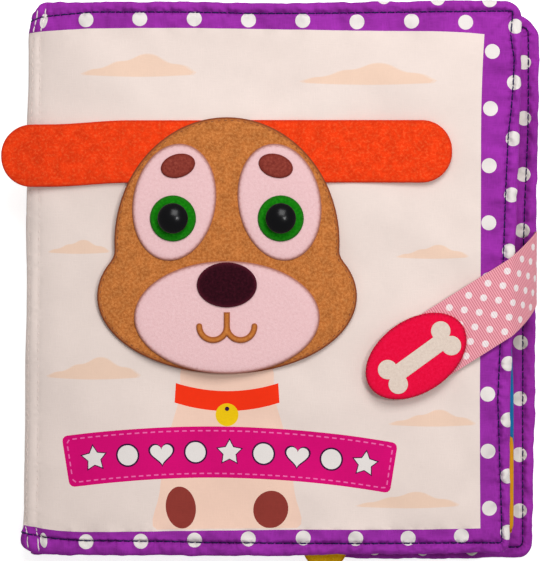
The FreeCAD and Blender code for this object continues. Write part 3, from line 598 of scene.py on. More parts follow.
def printed_cloth(name, rgb, depth=0.12, roughness=0.75, gloss=0.12):
    """Printed cotton: fine crossed threads with slubs, and patchy tone: faint uneven dye, and where
    the depth is large, as on the purple, painted sheen as well.
    """
    finish = Finish(
        name, roughness, Sheen_Weight=0.0, Sheen_Roughness=0.45, Specular_IOR_Level=gloss
    )
    colour = srgb(*rgb)
    warp = finish.noise(finish.cloth_place(260, 2300), 1.0, 2.0)
    weft = finish.noise(finish.cloth_place(2300, 260), 1.0, 2.0)
    threads = finish.calc("MAXIMUM", warp, weft)
    # Patches of lighter and darker tone: uneven dye, and at a large depth also painted sheen.
    dye_and_sheen = finish.noise(finish.cloth_place(), 55.0, 4.0)
    dark, pale = shaded(colour, 1 - depth), shaded(colour, 1 + depth / 3)
    tone = finish.ramp(dye_and_sheen, (0.36, dark), (0.64, pale))
    lines = finish.ramp(threads, (0.42, shaded(colour, 1 - 1.3 * depth)), (0.66, colour))
    return finish.done(finish.blend(0.45, tone, lines), threads, 0.35, 0.16)


def felt_cloth(name, dark, middle, light, rim, burn=0.9, patches=0.0, grain=0.2):
    """Pressed felt: mottled fibres, loose fuzz, and a rim that the cutting laser browned."""
    finish = Finish(name, 0.95, Sheen_Weight=0.03, Sheen_Roughness=0.6, Specular_IOR_Level=0.08)
    dark, middle, light, rim = (srgb(*rgb) for rgb in (dark, middle, light, rim))
    place = finish.cloth_place()
    fleck = finish.noise(place, 900.0, 5.0, 0.75)
    clouds = finish.noise(place, 240.0, 4.0, 0.6)
    base = finish.ramp(fleck, (0.5 - grain, dark), (0.5, middle), (0.5 + grain, light))
    if patches:
        pale = shaded(middle, 1 + patches / 2)
        stain = finish.ramp(clouds, (0.38, shaded(middle, 1 - patches)), (0.62, pale))
        base = finish.blend(0.5, base, stain)
    fibres = finish.noise(finish.cloth_place(2600, 900), 1.0, 4.0, 0.7)
    crossing = finish.noise(finish.cloth_place(800, 2700), 1.0, 4.0, 0.7)
    fuzz = finish.calc("MAXIMUM", fibres, crossing)
    browned = finish.node("Attribute")
    browned.attribute_name = "rim"
    edge = finish.calc("MULTIPLY", browned.outputs["Fac"], burn)
    height = finish.calc("ADD", fuzz, finish.calc("MULTIPLY", fleck, 1.4))
    return finish.done(finish.blend(edge, base, rim), height, 0.5, 0.3)


def thread_finish(name, rgb, dark=0.6):
    """Sewing thread: fine twisted plies along the stitch."""
    finish = Finish(name, 0.55, Specular_IOR_Level=0.2)
    colour = srgb(*rgb)
    plies = finish.noise(finish.cloth_place(1800, 260), 1.0, 2.0)
    tone = finish.ramp(plies, (0.35, shaded(colour, dark)), (0.65, colour))
    return finish.done(tone, plies, 0.4, 0.08)


def ribbon_cloth(name, pale, dark):
    """Grosgrain: its ribs are in the mesh, with painted shade in the valleys between them, and
    threads across.
    """
    finish = Finish(name, 0.6, Sheen_Weight=0.0, Sheen_Roughness=0.35, Specular_IOR_Level=0.1)
    pale, dark = srgb(*pale), srgb(*dark)
    apart = finish.node("SeparateXYZ", Vector=finish.cloth_place(2 * math.pi / (RIB * MM)))
    wave = finish.calc("COSINE", apart.outputs["X"], 0.0)
    wave = finish.calc("ADD", finish.calc("MULTIPLY", wave, 0.5), 0.5)
    # Painted shade: the colour goes from pale on the mesh's ribs to dark in the valleys between
    # them, in step with the ribs.
    rib_shade = finish.ramp(wave, (0.1, dark), (0.7, pale))
    threads = finish.noise(finish.cloth_place(500, 3000), 1.0, 2.0)
    fine = finish.ramp(threads, (0.4, shaded(pale, 0.86)), (0.65, pale))
    return finish.done(finish.blend(0.75, fine, rib_shade), threads, 0.3, 0.08)


def moulded(name, rgb, roughness, ior):
    """Moulded plastic with a very slight cloudiness and hairline rubs."""
    finish = Finish(name, roughness, IOR=ior)
    colour = srgb(*rgb)
    place = finish.node("TexCoord").outputs["Object"]
    cloud = finish.noise(place, 400.0, 4.0)
    tone = finish.ramp(cloud, (0.3, shaded(colour, 0.75)), (0.7, colour))
    return finish.done(tone, finish.noise(place, 2500.0, 2.0), 0.03, 0.05)


def hooked(name, rgb, size):
    """Hook or loop tape: a dense pile of tiny ends."""
    finish = Finish(name, 0.7, Sheen_Weight=0.3)
    colour = srgb(*rgb)
    pile = finish.noise(finish.cloth_place(), size, 2.0, 0.8)
    tone = finish.ramp(pile, (0.35, shaded(colour, 0.55)), (0.62, colour))
    return finish.done(tone, pile, 0.9, 0.5)


RIB, RIB_DEPTH = 0.92, 0.085  # the ribbon's ribs: how far apart, and half how high

CREAM = printed_cloth("cream_cotton", (240, 223, 215), 0.05)
# The purple's strong patchy tone is painted sheen of the satin-like cloth as well as uneven dye.
PURPLE = printed_cloth("purple_cotton", (164, 52, 174), 0.26, 0.7, 0.02)
WHITE = printed_cloth("white_dots", (237, 230, 226), 0.04)
PEACH = printed_cloth("peach_print", (250, 212, 192), 0.05)
CHESTNUT = printed_cloth("chestnut_print", (150, 58, 50), 0.15)
BERRY = printed_cloth("berry_print", (222, 0, 118), 0.1)
ROSE = printed_cloth("rose_print", (246, 110, 180), 0.05)
INK = printed_cloth("dark_print", (62, 12, 60), 0.1)
FLAME = printed_cloth("flame_print", (255, 52, 14), 0.06)
YELLOW = printed_cloth("yellow_print", (250, 205, 10), 0.1)
CLOUD = printed_cloth("cloud_print", (243, 210, 188), 0.05)
CLOUD_EDGE = printed_cloth("cloud_edge_print", (242, 217, 202), 0.05)
SKY = printed_cloth("sky_page", (20, 112, 165), 0.12)
AMBER = printed_cloth("amber_page", (222, 152, 20), 0.12)
LIME = printed_cloth("lime_page", (150, 205, 60), 0.12)
TEAL = printed_cloth("teal_page", (40, 170, 165), 0.12)
CORAL = printed_cloth("coral_page", (250, 130, 110), 0.12)
NAVY = thread_finish("navy_thread", (36, 16, 84))
PALE_THREAD = thread_finish("pale_thread", (250, 238, 236), 0.9)
CREAM_THREAD = thread_finish("cream_thread", (236, 219, 211), 0.9)
SHELL_THREAD = thread_finish("shell_thread", (222, 172, 172), 0.8)
UMBER = thread_finish("brown_thread", (140, 78, 52))
WINE = thread_finish("wine_thread", (190, 10, 50))
BROWN_FELT = felt_cloth(
    "brown_felt", (158, 84, 34), (199, 119, 58), (224, 150, 86), (128, 62, 38), 0.9, 0.28, 0.1
)
ORANGE_FELT = felt_cloth(
    "orange_felt", (232, 50, 8), (248, 62, 14), (255, 108, 56), (200, 48, 20),
    0.6, 0.3, 0.12,
)
PINK_FELT = felt_cloth(
    "pink_felt", (234, 189, 191), (241, 198, 200), (246, 208, 210),
    (160, 98, 80), 0.85,
)
PLUM_FELT = felt_cloth("plum_felt", (30, 2, 12), (48, 6, 20), (68, 16, 32), (80, 20, 36))
MOUTH_FELT = felt_cloth("mouth_felt", (186, 104, 40), (212, 130, 58), (226, 150, 80), (160, 88, 44))
BROW_FELT = felt_cloth("brow_felt", (112, 40, 34), (138, 56, 46), (160, 76, 62), (118, 44, 36))
GREEN_FELT = felt_cloth("green_felt", (8, 98, 2), (16, 126, 6), (36, 150, 20), (40, 90, 24), 0.5)
CRIMSON_FELT = felt_cloth(
    "crimson_felt", (226, 2, 52), (240, 8, 62), (246, 26, 78), (188, 8, 48), 0.7
)
CREAM_FELT = felt_cloth(
    "cream_felt", (220, 200, 186), (230, 211, 197), (238, 222, 208),
    (230, 196, 184), 0.5,
)
YELLOW_FELT = felt_cloth(
    "yellow_felt", (236, 176, 0), (252, 202, 12), (255, 220, 60), (214, 150, 0)
)
# Each ribbon's second colour is the painted shade in the valleys between its ribs.
RIBBON = ribbon_cloth("pink_ribbon", (245, 173, 184), (202, 96, 114))
RIBBON_DOT = ribbon_cloth("ribbon_dots", (250, 240, 240), (232, 204, 208))
BLACK_PLASTIC = moulded("black_plastic", (3, 3, 6), 0.24, 1.32)
WHITE_PLASTIC = moulded("white_plastic", (226, 226, 222), 0.4, 1.45)
LOOP_TAPE = hooked("loop_tape", (226, 224, 220), 1500.0)
HOOK_TAPE = hooked("hook_tape", (214, 212, 208), 900.0)


# ---------------------------------------------------------------- places on the book

COVER_THICK = FRONT_HIGH[2] - FRONT_LOW[2]
HALF_HEIGHT = (BACK_HIGH[1] - BACK_LOW[1]) / 2
FRONT_RISE = (FRONT_LOW[1] + FRONT_HIGH[1]) / 2
SPINE_RISE = (SPINE_LOW[1] + SPINE_HIGH[1]) / 2
ROLL = SPINE_HIGH[0] - SPINE_LOW[0]
ROLL_START = SPINE_HIGH[0]
ROLL_RUN = ROLL * math.pi / 2
ROLL_CENTRE = SPINE_HIGH[2] - ROLL
WALL = ROLL_CENTRE - SPINE_LOW[2]
SPINE_THICK = BLOCK_LOW[0] - SPINE_LOW[0]
FOOT = ROLL_START - ROLL_RUN - WALL
SLUMP, SLUMP_FROM, SLUMP_RUN = 1.9, -52, 46  # how far the pads sink towards the spine, and where
VALLEY, VALLEY_AT = 4.0, -97.9  # how far the seam by the spine pulls the cloth down, and where
# How wide the print's border is at the right, upper and lower side.
BORDER_SIDE, BORDER_TOP, BORDER_LOW = 13.0, 10.0, 9.5
FRONT_BORDERS, BACK_BORDERS = (BORDER_SIDE, BORDER_TOP, BORDER_LOW), (11.0, 11.0, 10.0)

# The sewn sides aren't straight. Each row: place along the side, then how far out from the
# book's middle the print's edge, the topstitch and the cover's edge lie there.
FRONT_RIGHT = (
    (-108, 79.0, 87.6, 90.7), (-93, 78.8, 87.4, 90.7), (-45, 78.6, 85.9, 90.9),
    (-10, 78.9, 87.4, 92.2), (19, 79.0, 88.4, 93.2), (37, 79.1, 89.0, 93.6),
    (61, 79.1, 90.1, 94.6), (71, 79.2, 91.3, 94.9), (82, 79.5, 92.1, 95.2),
    (93, 79.9, 92.5, 95.3), (103, 80.5, 91.1, 95.5), (109, 80.9, 91.9, 95.7),
)
FRONT_TOP = (
    (-96, 102.8, 108.8, 114.5), (-77, 103.7, 110.3, 114.5), (-36, 103.8, 110.2, 114.4),
    (-14, 103.4, 109.7, 113.8), (12, 103.0, 109.7, 113.9), (40, 102.6, 110.1, 114.5),
    (63, 102.4, 110.4, 115.0), (73, 101.9, 110.5, 115.0), (81, 101.2, 110.6, 115.0),
    (92, 101.0, 110.7, 114.8),
)
FRONT_LOW_SIDE = (
    (-98, 96.5, 99.9, 107.2), (-90, 97.6, 100.9, 107.4), (-80, 98.0, 101.5, 107.4),
    (-50, 97.6, 101.6, 107.4), (-30, 97.3, 102.2, 107.7), (8, 96.9, 102.5, 107.5),
    (30, 97.0, 102.6, 106.9), (55, 96.9, 102.4, 106.8), (80, 96.4, 102.3, 106.3),
)
BACK_RIGHT = (
    (-108, 91.0, 98.0, 101.6), (-90, 91.0, 98.0, 102.1), (-50, 91.0, 98.0, 103.0),
    (0, 91.2, 98.1, 103.5), (17, 91.5, 98.3, 103.6), (38, 91.8, 99.0, 103.8),
    (62, 92.0, 100.1, 104.3), (78, 92.0, 100.3, 104.5), (95, 92.0, 100.3, 104.9),
    (108, 91.6, 100.2, 104.6),
)
BACK_TOP = ((-100, 99.0, 106.2, 110.0), (80, 99.0, 106.2, 110.6), (96, 99.0, 106.4, 111.3))
BACK_LOW_SIDE = (
    (-100, 100.0, 106.2, 109.4), (10, 100.0, 106.2, 109.4), (32, 100.0, 106.2, 110.9),
    (60, 100.0, 106.2, 111.0), (95, 100.0, 106.2, 110.6),
)
FRONT_SIDES = (FRONT_RIGHT, FRONT_TOP, FRONT_LOW_SIDE)
BACK_SIDES = (BACK_RIGHT, BACK_TOP, BACK_LOW_SIDE)
SPINE_LEAN = ((-106, -100, -90, -70, -8, 36, 105), (-1.3, -1.2, -0.8, -0.4, 0.0, 0.5, 0.9))
# How the spine's ends are drawn towards the book's middle and downwards. Each row: how far,
# where that starts along the spine and over what run it grows, and its power.
ENDS_ASIDE = ((1.0, 98, 5, 1), (1.6, 99, 12, 2), (-0.2, -98, -13, 2))
ENDS_DOWN = ((0.6, 85, 15, 1), (2.6, 99, 12, 2), (-0.9, -98, -13, 2), (-0.9, -80, -15, 1))
# Kinds of stitches: length, gap and radius.
HEM_STITCH = (STITCH_PITCH - 0.08, 0.08, 0.3)
FOLD_STITCH, PANEL_STITCH, LEAF_STITCH = (3.0, 0.02, 0.27), (2.2, 1.0, 0.15), (2.6, 0.5, 0.22)
FACE_STITCH, THREAD_SINKS = (1.5, 1.1, 0.13), 0.12
# The two sewn folds between the cover and the spine: places along them, and where they lie.
SEAMS = (
    ((-107, -101, -96, 96, 103, 107, 113), (-96.8, -97.9, -98.2, -98.6, -98.4, -97.6, -95.6)),
    ((-107, -99, -94, 96, 103, 107, 113), (-101.6, -103.2, -103.6, -102.4, -102.2, -101.9, -100.4)),
)


def valley(x):
    beside = np.asarray(x, float) - VALLEY_AT
    left = 1 + 0.4 * (1 - np.exp(np.minimum(beside, 0) / 4.0))
    return VALLEY * np.where(beside > 0, np.exp(-np.maximum(beside, 0) / 10.0), left)


def slump(x):
    """How far cloth at full height sinks there, because the spine's seams pull it down."""
    x = np.asarray(x, float)
    return SLUMP * smooth((SLUMP_FROM - x) / SLUMP_RUN) + valley(x)


def settled(x, y, z):
    return np.column_stack([x, y, z - slump(x) * z / FRONT_HIGH[2]])


RIM_WAVES = ((0.3, 7.0, 0), (0.25, 2.6, 9))  # height, size and seed of the cut edge's waves
PRINT_RUN = 30.0  # how far inwards from the print's edge its cloth strays too


def strayed(out, at, edge, border, table, seed):
    """How far a side's cloth strays outwards, for points out from the middle, at places
    along the side. edge and border are the plan's edge and how far in its print starts."""
    rows = np.array(table).T
    marks = (edge - border, edge - STITCH_INSET, edge)
    print_, stitch, rim = (np.interp(at, rows[0], rows[k + 1]) - marks[k] for k in range(3))
    for height, size, shift in RIM_WAVES:
        rim = rim + height * ripple(at, at * 0, size, seed + shift)
    inner = print_ * smooth((out - marks[0] + PRINT_RUN) / PRINT_RUN)
    first = np.clip((out - marks[0]) / (marks[1] - marks[0]), 0, 1)
    second = np.clip((out - marks[1]) / STITCH_INSET, 0, 1)
    return inner + (stitch - print_) * first + (rim - stitch) * second


def between_sides(x, y, low, high, borders, tables, seed):
    """Where a cover's cloth lies seen from above, as its right, upper and lower side stray."""
    ways = ((x, y, high[0]), (y, x, high[1]), (-y, x, -low[1]))
    right, top, foot = (
        strayed(*way, border, table, seed + number)
        for number, (way, border, table) in enumerate(zip(ways, borders, tables))
    )
    return x + right, y + top - foot


def front_place(points, depth):
    """From the flat cloth of cover and spine to space: over the roll and down the wall."""
    a, v = points.T
    run = ROLL_START - a
    turn = np.clip(run / ROLL_RUN, 0, 1) * math.pi / 2
    down = np.maximum(run - ROLL_RUN, 0)
    drop = (FRONT_HIGH[2] - SPINE_HIGH[2]) * smooth((ROLL_START + 8 - a) / 8)
    reach = ROLL - depth
    rolled = run > 0
    x = np.where(rolled, ROLL_START - reach * np.sin(turn), a)
    z = np.where(rolled, ROLL_CENTRE + reach * np.cos(turn) - down, FRONT_HIGH[2] - drop - depth)
    z = z + depth * smooth((down - WALL + 9) / 9)
    y = v + FRONT_RISE
    across, up = between_sides(x, y, FRONT_LOW, FRONT_HIGH, FRONT_BORDERS, FRONT_SIDES, 1.5)
    lean = np.interp(y, *SPINE_LEAN) * smooth((-85 - x) / 14)
    over = smooth((ROLL_START + 4 - a) / 11)
    aside, down = (
        over * sum(far * smooth((v - start) / run) ** power for far, start, run, power in rows)
        for rows in (ENDS_ASIDE, ENDS_DOWN)
    )
    return settled(across + lean + aside, up - down, z)


def front_thick(points):
    return COVER_THICK - (COVER_THICK - SPINE_THICK) * smooth((ROLL_START + 6 - points[:, 0]) / 6)


def back_place(points, depth):
    x, y = points.T
    height = COVER_THICK - depth
    bevel = smooth((BACK_LOW[0] + 9 - x) / 9)
    across, up = between_sides(x, y, BACK_LOW, BACK_HIGH, BACK_BORDERS, BACK_SIDES, 4.5)
    return settled(across + height * bevel, up, height)


def back_thick(points):
    return np.full(len(points), COVER_THICK)


DRAG_MIDDLE, DRAG_TURN = (74.0, -82.0), math.radians(61)  # a soft fold by the lower corner


class FrontPad(Pad):
    """The cover and spine, with the two sewn folds between them."""

    def groove(self, points):
        ends = smooth((np.abs(points[:, 1]) - 90) / 15)
        found = np.zeros(len(points))
        for places, seam in SEAMS:
            across = points[:, 0] - np.interp(points[:, 1] + FRONT_RISE, places, seam)
            found += (0.3 + 0.5 * ends) * np.exp(-((across / 0.75) ** 2))
        c, s = math.cos(DRAG_TURN), math.sin(DRAG_TURN)
        x, y = (points + (0, FRONT_RISE) - DRAG_MIDDLE).T
        along, across = x * c + y * s, y * c - x * s
        return found + 0.6 * np.exp(-((across / 2.5) ** 2) - (along / 11) ** 2)

    def pull(self, points):
        return 1 - 0.85 * smooth((ROLL_START + 1.5 - points[:, 0]) / 4)


# ---------------------------------------------------------------- printed shapes

DOT = 3.0  # radius
ROW_PITCH = 21.7
MOTIFS = ("star", "circle", "heart", "circle", "star", "circle", "heart", "circle", "star")


# Rows of dots: where along the side, and how far out from the book's middle.
TOP_DOTS = (
    (-79, 107.2), (-57.4, 107.5), (-35.6, 107.5), (-13.9, 107.0), (7.8, 106.75), (29.5, 106.3),
    (51.3, 106.5), (73, 106.1), (40.3, 116.5), (61.8, 115.7), (82.6, 115.0),
)
LOW_DOTS = (
    (-79, 101.9), (-57, 101.6), (-35.5, 101.1), (-14, 100.65), (8, 100.3), (29, 100.5),
    (50, 100.4), (71.3, 99.5),
)
INNER_DOTS = ((95, 83.7), (71, 82.9), (50, 82.4), (-43, 81.8), (-65, 81.9), (-88, 82.5))
OUTER_DOTS = ((104.5, 93.1), (82.5, 92.5), (60, 92.0), (37, 91.4), (15, 90.6), (-76, 89.8))
FOLDED_DOTS = ((-96.1, 107.0, -12), (-96.2, -101.6, 6))  # x, y and lean, in the seam's fold


def front_dots(pad, low, high):
    """Polka dots of the front cover's border."""
    rows = [circle(x, y, DOT) for x, y in TOP_DOTS]
    rows += [circle(x, -y, DOT) for x, y in LOW_DOTS]
    for k in range(10):
        for first, pitch, table in ((94.4, 22.85, INNER_DOTS), (104.5, 22.5, OUTER_DOTS)):
            y = first - pitch * k
            if k < 9 or table is OUTER_DOTS:
                x = np.interp(-y, [-row[0] for row in table], [row[1] for row in table])
                rows.append(circle(x, y, DOT))
    rows += [ellipse(x, y, 1.5, 3.1, lean, 24) for x, y, lean in FOLDED_DOTS]
    found = [pad.flattened(dot) for dot in rows]
    found.append(ellipse(-105.5, low[1] + 8.4, 1.1, 2.8, 0, 20))
    return [(dot, 2) for dot in kept_in(found, low, high)]


def back_dots(pad, low, high):
    """Polka dots of the back cover's border."""
    found = []
    for k in range(9):
        y = 91.9 - 22.9 * k
        found.append(circle(np.interp(y, (-50, 60), (96.6, 98.4)), y, DOT))
        found.append(circle(77.0 - 20.0 * k, -106.5, DOT))
        found.append(circle(84.0 - ROW_PITCH * k, 104.5, DOT))
    return [(dot, 2) for dot in kept_in([pad.flattened(d) for d in found], low, high)]


# Each lump's middle, half width and height, in parts of the cloud's own width and height.
CLOUD_LUMPS = ((0.16, 0.16, 0.30), (0.36, 0.17, 0.66), (0.58, 0.2, 1.0), (0.8, 0.2, 0.52))


def cloud(x, y, width, height):
    """A long low cloud of a few round lumps on a nearly flat base."""
    t = np.linspace(0, 1, 41)
    lumps = np.zeros(len(t))
    for middle, half, tall in CLOUD_LUMPS:
        lump = np.sqrt(np.clip(1 - ((t - middle) / half) ** 2, 0, 1)) * tall
        lumps = np.maximum(lumps, lump)
    lumps = np.convolve(np.pad(lumps, 2), np.ones(5) / 5, "valid")
    top = np.column_stack([x - width / 2 + width * t, y + height * lumps])
    base = np.column_stack([x + width / 2 - width * t, y - 0.1 * height * np.sin(math.pi * t)])
    return np.vstack([top, base[1:-1]])[::-1]


def star(x, y, radius):
    turn = math.pi / 2 + np.arange(10) * math.pi / 5
    reach = np.where(np.arange(10) % 2 == 0, radius, radius * 0.52)
    return resample(np.column_stack([x + reach * np.cos(turn), y + reach * np.sin(turn)]), 0.8)


def heart(x, y, size):
    t = np.arange(40) * 2 * math.pi / 40
    across = size * np.sin(t) ** 3
    up = size * (13 * np.cos(t) - 5 * np.cos(2 * t) - 2 * np.cos(3 * t) - np.cos(4 * t)) / 16
    return np.column_stack([x - across, y + up])


def motif(kind, x, y, size):
    if kind == "star":
        return star(x, y, size)
    if kind == "heart":
        return heart(x, y, size * 0.92)
    return circle(x, y, size * 0.82, 32)


def scaled(loop, factor):
    middle = loop.mean(0)
    return middle + (loop - middle) * factor


# The banner is a strip of a wide ring about a place far below it.
BANNER_MIDDLE, BANNER_LEVEL = -21.5, -66.0
BANNER_RADIUS, BANNER_HALF, BANNER_TALL = 420.0, 66.0, 20.5
DASH, DASH_PITCH = 18, 31  # in points that are FINE apart
DASH_INSET, DASH_HALF = 1.7, 0.26  # how far in the dashes lie, and half their width
MOTIF_PITCH, MOTIF_SIZE, MOTIF_EDGE = 13.6, 4.9, 1.17


def on_banner(along, up):
    """Points of the banner, which are given from its own middle."""
    turn, reach = along / BANNER_RADIUS, BANNER_RADIUS + up
    y = BANNER_LEVEL - BANNER_RADIUS + reach * np.cos(turn) - 0.02 * along
    return np.column_stack([BANNER_MIDDLE + reach * np.sin(turn), y])


def banner_print():
    """The banner: its ground, a dashed line inside its edge, and a row of dark-edged motifs."""
    corner = np.array([BANNER_HALF, BANNER_TALL / 2])
    regions = [(on_banner(*rounded_box(-corner, corner, [2.2] * 4, 2.0).T), 5)]
    line = rounded_box(DASH_INSET - corner, corner - DASH_INSET, [1.2] * 4, 2.0)
    dashes = walk(line, FINE, True)
    for start in range(0, len(dashes) - DASH, DASH_PITCH):
        a, b = dashes[start], dashes[start + DASH]
        side = np.array([-(b - a)[1], (b - a)[0]]) / np.linalg.norm(b - a) * DASH_HALF
        regions.append((on_banner(*np.array([a - side, b - side, b + side, a + side]).T), 6))
    for number, kind in enumerate(MOTIFS):
        shape = motif(kind, (number - (len(MOTIFS) - 1) / 2) * MOTIF_PITCH, 0.0, MOTIF_SIZE)
        regions += [(on_banner(*scaled(shape, MOTIF_EDGE).T), 7), (on_banner(*shape.T), 2)]
    return regions


def body_print():
    """A plain peach body under the head, with two chestnut paws, a collar and a bell."""
    x = -22.5
    side = [(17, -30), (19, -44), (24, -62), (27, -82), (28, -97.2)]
    round_body = [(-a, y) for a, y in side] + [(0, -97.2)] + side[::-1] + [(0, -28)]
    body = smooth_loop([(x + a, y) for a, y in round_body], 5)
    body[:, 1] = np.maximum(body[:, 1], -96.6)
    left = ellipse(x - 18.5, -88, 6.0, 8.4, 8, 36)
    right = ellipse(x + 17.5, -89, 7.0, 7.6, -12, 36)
    for patch in (left, right):
        patch[:, 1] = np.maximum(patch[:, 1], -96.5)
    turn = np.linspace(-1, 1, 21)
    upper = np.column_stack([x + 20.5 * turn, -41.5 + 3.2 * turn**2])
    lower = np.column_stack([x + 21.0 * turn, -49.5 + 3.4 * turn**2])
    collar = np.vstack([lower, upper[::-1]])
    bell, hole = circle(x, -51.0, 4.6, 32), circle(x, -48.6, 0.9, 12)
    return [(body, 3), (left, 4), (right, 4), (collar, 8), (bell, 9), (hole, 7)]


FRONT_MATERIALS = [CREAM, PURPLE, WHITE, PEACH, CHESTNUT, BERRY, ROSE, INK, FLAME, YELLOW,
                   CLOUD, CLOUD_EDGE]
CLOUDS = (
    (-58, 85, 44, 8), (34, 82, 52, 8), (-82, 14, 24, 5), (60, 12, 28, 5), (-76, -36, 36, 8),
    (60, -55, 34, 6), (50, -88, 40, 6),
)


def kept_in(loops, low, high, margin=0.05):
    """The loops, with their points kept a little inside a rectangle."""
    return [np.clip(loop, low + margin, high - margin) for loop in loops]


def make_front():
    """The front cover and spine as one padded piece with its print, topstitching on both
    faces, and pale thread in the folds beside the spine."""
    low, high = np.array([FOOT, -HALF_HEIGHT]), np.array([FRONT_HIGH[0], HALF_HEIGHT])
    pad = FrontPad(low, high, [0.5, 5.0, 6.8, 0.5], 1.1, front_place, front_thick, (1.35, 0.62), 0)
    (x0, y0), (x1, y1) = low + (0, BORDER_LOW), high - (BORDER_SIDE, BORDER_TOP)
    panel = resample(np.array([(x0, y0), (x1, y0), (x1, y1), (x0, y1)]), 3.0)
    shapes = [cloud(*row) for row in CLOUDS]
    prints = [pair for s in shapes for pair in ((scaled(s, 1.06), 11), (s, 10))]
    prints += body_print() + banner_print()
    prints = [(panel, 0), *((loop - (0, FRONT_RISE), number) for loop, number in prints)]
    dots = front_dots(pad, low, high)
    lining = rounded_box((ROLL_START + 14, low[1] + 12), high - 12, [0.5] * 4, 3.0)
    columns = np.arange(-112.0, -86.0, 0.7)
    rows = np.arange(low[1] + 12, high[1] - 11, 3.0)
    fold = np.array([(x, y) for x in columns for y in rows])
    piece = pad.build(
        "front_cover_and_spine", FRONT_MATERIALS, (dots + prints, 1), (dots + [(lining, 0)], 1),
        np.vstack([pad.seeds(3.0, 1.1), fold]), "cover_cloth", 0.5, "front_cover", "spine",
    )
    low, high = low + STITCH_INSET, high - STITCH_INSET
    pieces = [piece]
    for name, start, outer in (
        ("front_topstitch", FOOT + 1, True), ("front_inner_topstitch", ROLL_START + 13, False)
    ):
        line = rounded_box((start, low[1]), high, [0.01, 1.2, 0.8, 0.01], 1.0)
        pieces.append(pad.sewn(name, line, NAVY, HEM_STITCH, outer, closed=False))
    top, inner, outer = HALF_HEIGHT - 0.5, HALF_HEIGHT - BORDER_TOP, BORDER_LOW - HALF_HEIGHT
    parts = (
        ("upper", inner, top, PALE_THREAD, FOLD_STITCH),
        ("middle", outer, inner, CREAM_THREAD, PANEL_STITCH),
        ("lower", -top, outer, PALE_THREAD, FOLD_STITCH),
    )
    for number, (places, seam) in enumerate(SEAMS):
        for part, start, end, thread, size in parts:
            rows = np.linspace(start, end, 60)
            line = np.column_stack([np.interp(rows + FRONT_RISE, places, seam), rows])
            name = f"fold_thread_{number}_{part}"
            pieces.append(pad.sewn(name, line, thread, size, closed=False, in_holes=False))
    return pieces


def ring(low, high):
    """The topstitch's closed line round a rectangle."""
    return rounded_box(low + STITCH_INSET, high - STITCH_INSET, [2.5] * 4, 1.0)


def make_back():
    """The back cover: its own printed pad, bevelled where the spine folds up from it."""
    low, high = BACK_LOW[:2], BACK_HIGH[:2]
    pad = Pad(low, high, [0.5, 5.5, 8.5, 0.5], 1.4, back_place, back_thick, (1.5, 0.4), 211.0)
    dots = back_dots(pad, low, high)
    inner, outer = (
        (dots + [(rounded_box(low + (left, 10), high - (13, 11), [0.5] * 4, 3.0), 0)], 1)
        for left in (14, 0.4)
    )
    piece = pad.build(
        "back_cover_pad", [CREAM, PURPLE, WHITE], inner, outer, pad.seeds(4.0, 1.4),
        "cover_cloth", 0.5, "back_cover",
    )
    line = ring(low, high)
    return [
        piece,
        pad.sewn("back_inner_topstitch", line, NAVY, HEM_STITCH),
        pad.sewn("back_topstitch", line, NAVY, HEM_STITCH, outer=False),
    ]


# ---------------------------------------------------------------- leaves

LEAF_COUNT = 6
PAGE_MATERIALS = [SKY, AMBER, LIME, CORAL, TEAL, CREAM]
# Each leaf's lower and upper page, from the back of the book: ground and field colours.
PAGES = ((5, 4), (4, 2), (2, 0), (3, 5), (5, 3), (1, 0))


def make_leaf(number):
    """One padded leaf, with two plain printed pages, and white topstitching if it is the lowest or
    the top leaf.
    """
    is_top = number == LEAF_COUNT - 1
    thick = (BLOCK_HIGH[2] - BLOCK_LOW[2]) / LEAF_COUNT
    bottom = BLOCK_LOW[2] + number * thick
    stray = 1.2 if is_top else 0.4 * math.sin(2.3 * number + 0.4)
    short = 5.0 if is_top else 0.6 + 0.4 * math.sin(1.7 * number)
    low = BLOCK_LOW[:2] + (0.8, short)
    high = BLOCK_HIGH[:2] - (4.2, 0.6) + (stray, 0.4 * math.cos(2.9 * number))

    def leaf_place(points, depth):
        x, y = points.T
        right = smooth((x - 50) / 40)
        bow = right * (0.9 * smooth((-y - 15) / 30) - 1.3 * smooth((y + 10) / 40))
        wave = right * 0.35 * np.sin(y / 21 + number)
        return settled(x + bow, y, bottom + thick - depth + wave)

    pad = Pad(
        low, high, [1.0, 4.5, 4.5, 1.0], 2.4, leaf_place, lambda p: np.full(len(p), thick),
        (0.6, 0.12), 97.0 * number, 0.7, 0.0,
    )
    ground, field = PAGES[number]
    (x0, y0), x1 = low, high[0]
    hills = [(x1 - 0.5, -60.5), (40, -50), (-20, -64), (-70, -52), (x0 + 0.5, -58)]
    hills = smooth_loop([(x0 + 1, y0 + 1), (0, y0 + 0.8), (x1 - 1, y0 + 1), *hills], 9)
    hills = np.clip(hills, low + 0.1, high - 0.1)
    name = f"leaf_{number + 1}"
    pieces = [
        pad.build(
            name, PAGE_MATERIALS, ([(hills, ground)], field), ([], ground), pad.seeds(5.0, 2.4),
            "page_cloth", 0.45, "page_block",
        )
    ]
    if is_top or number == 0:
        name += "_topstitch"
        pieces.append(
            pad.sewn(name, ring(low, high), PALE_THREAD, LEAF_STITCH, is_top, in_holes=False)
        )
    return pieces


# ---------------------------------------------------------------- felt

FELT_ROUND = 0.4  # how round a piece's upper edge is


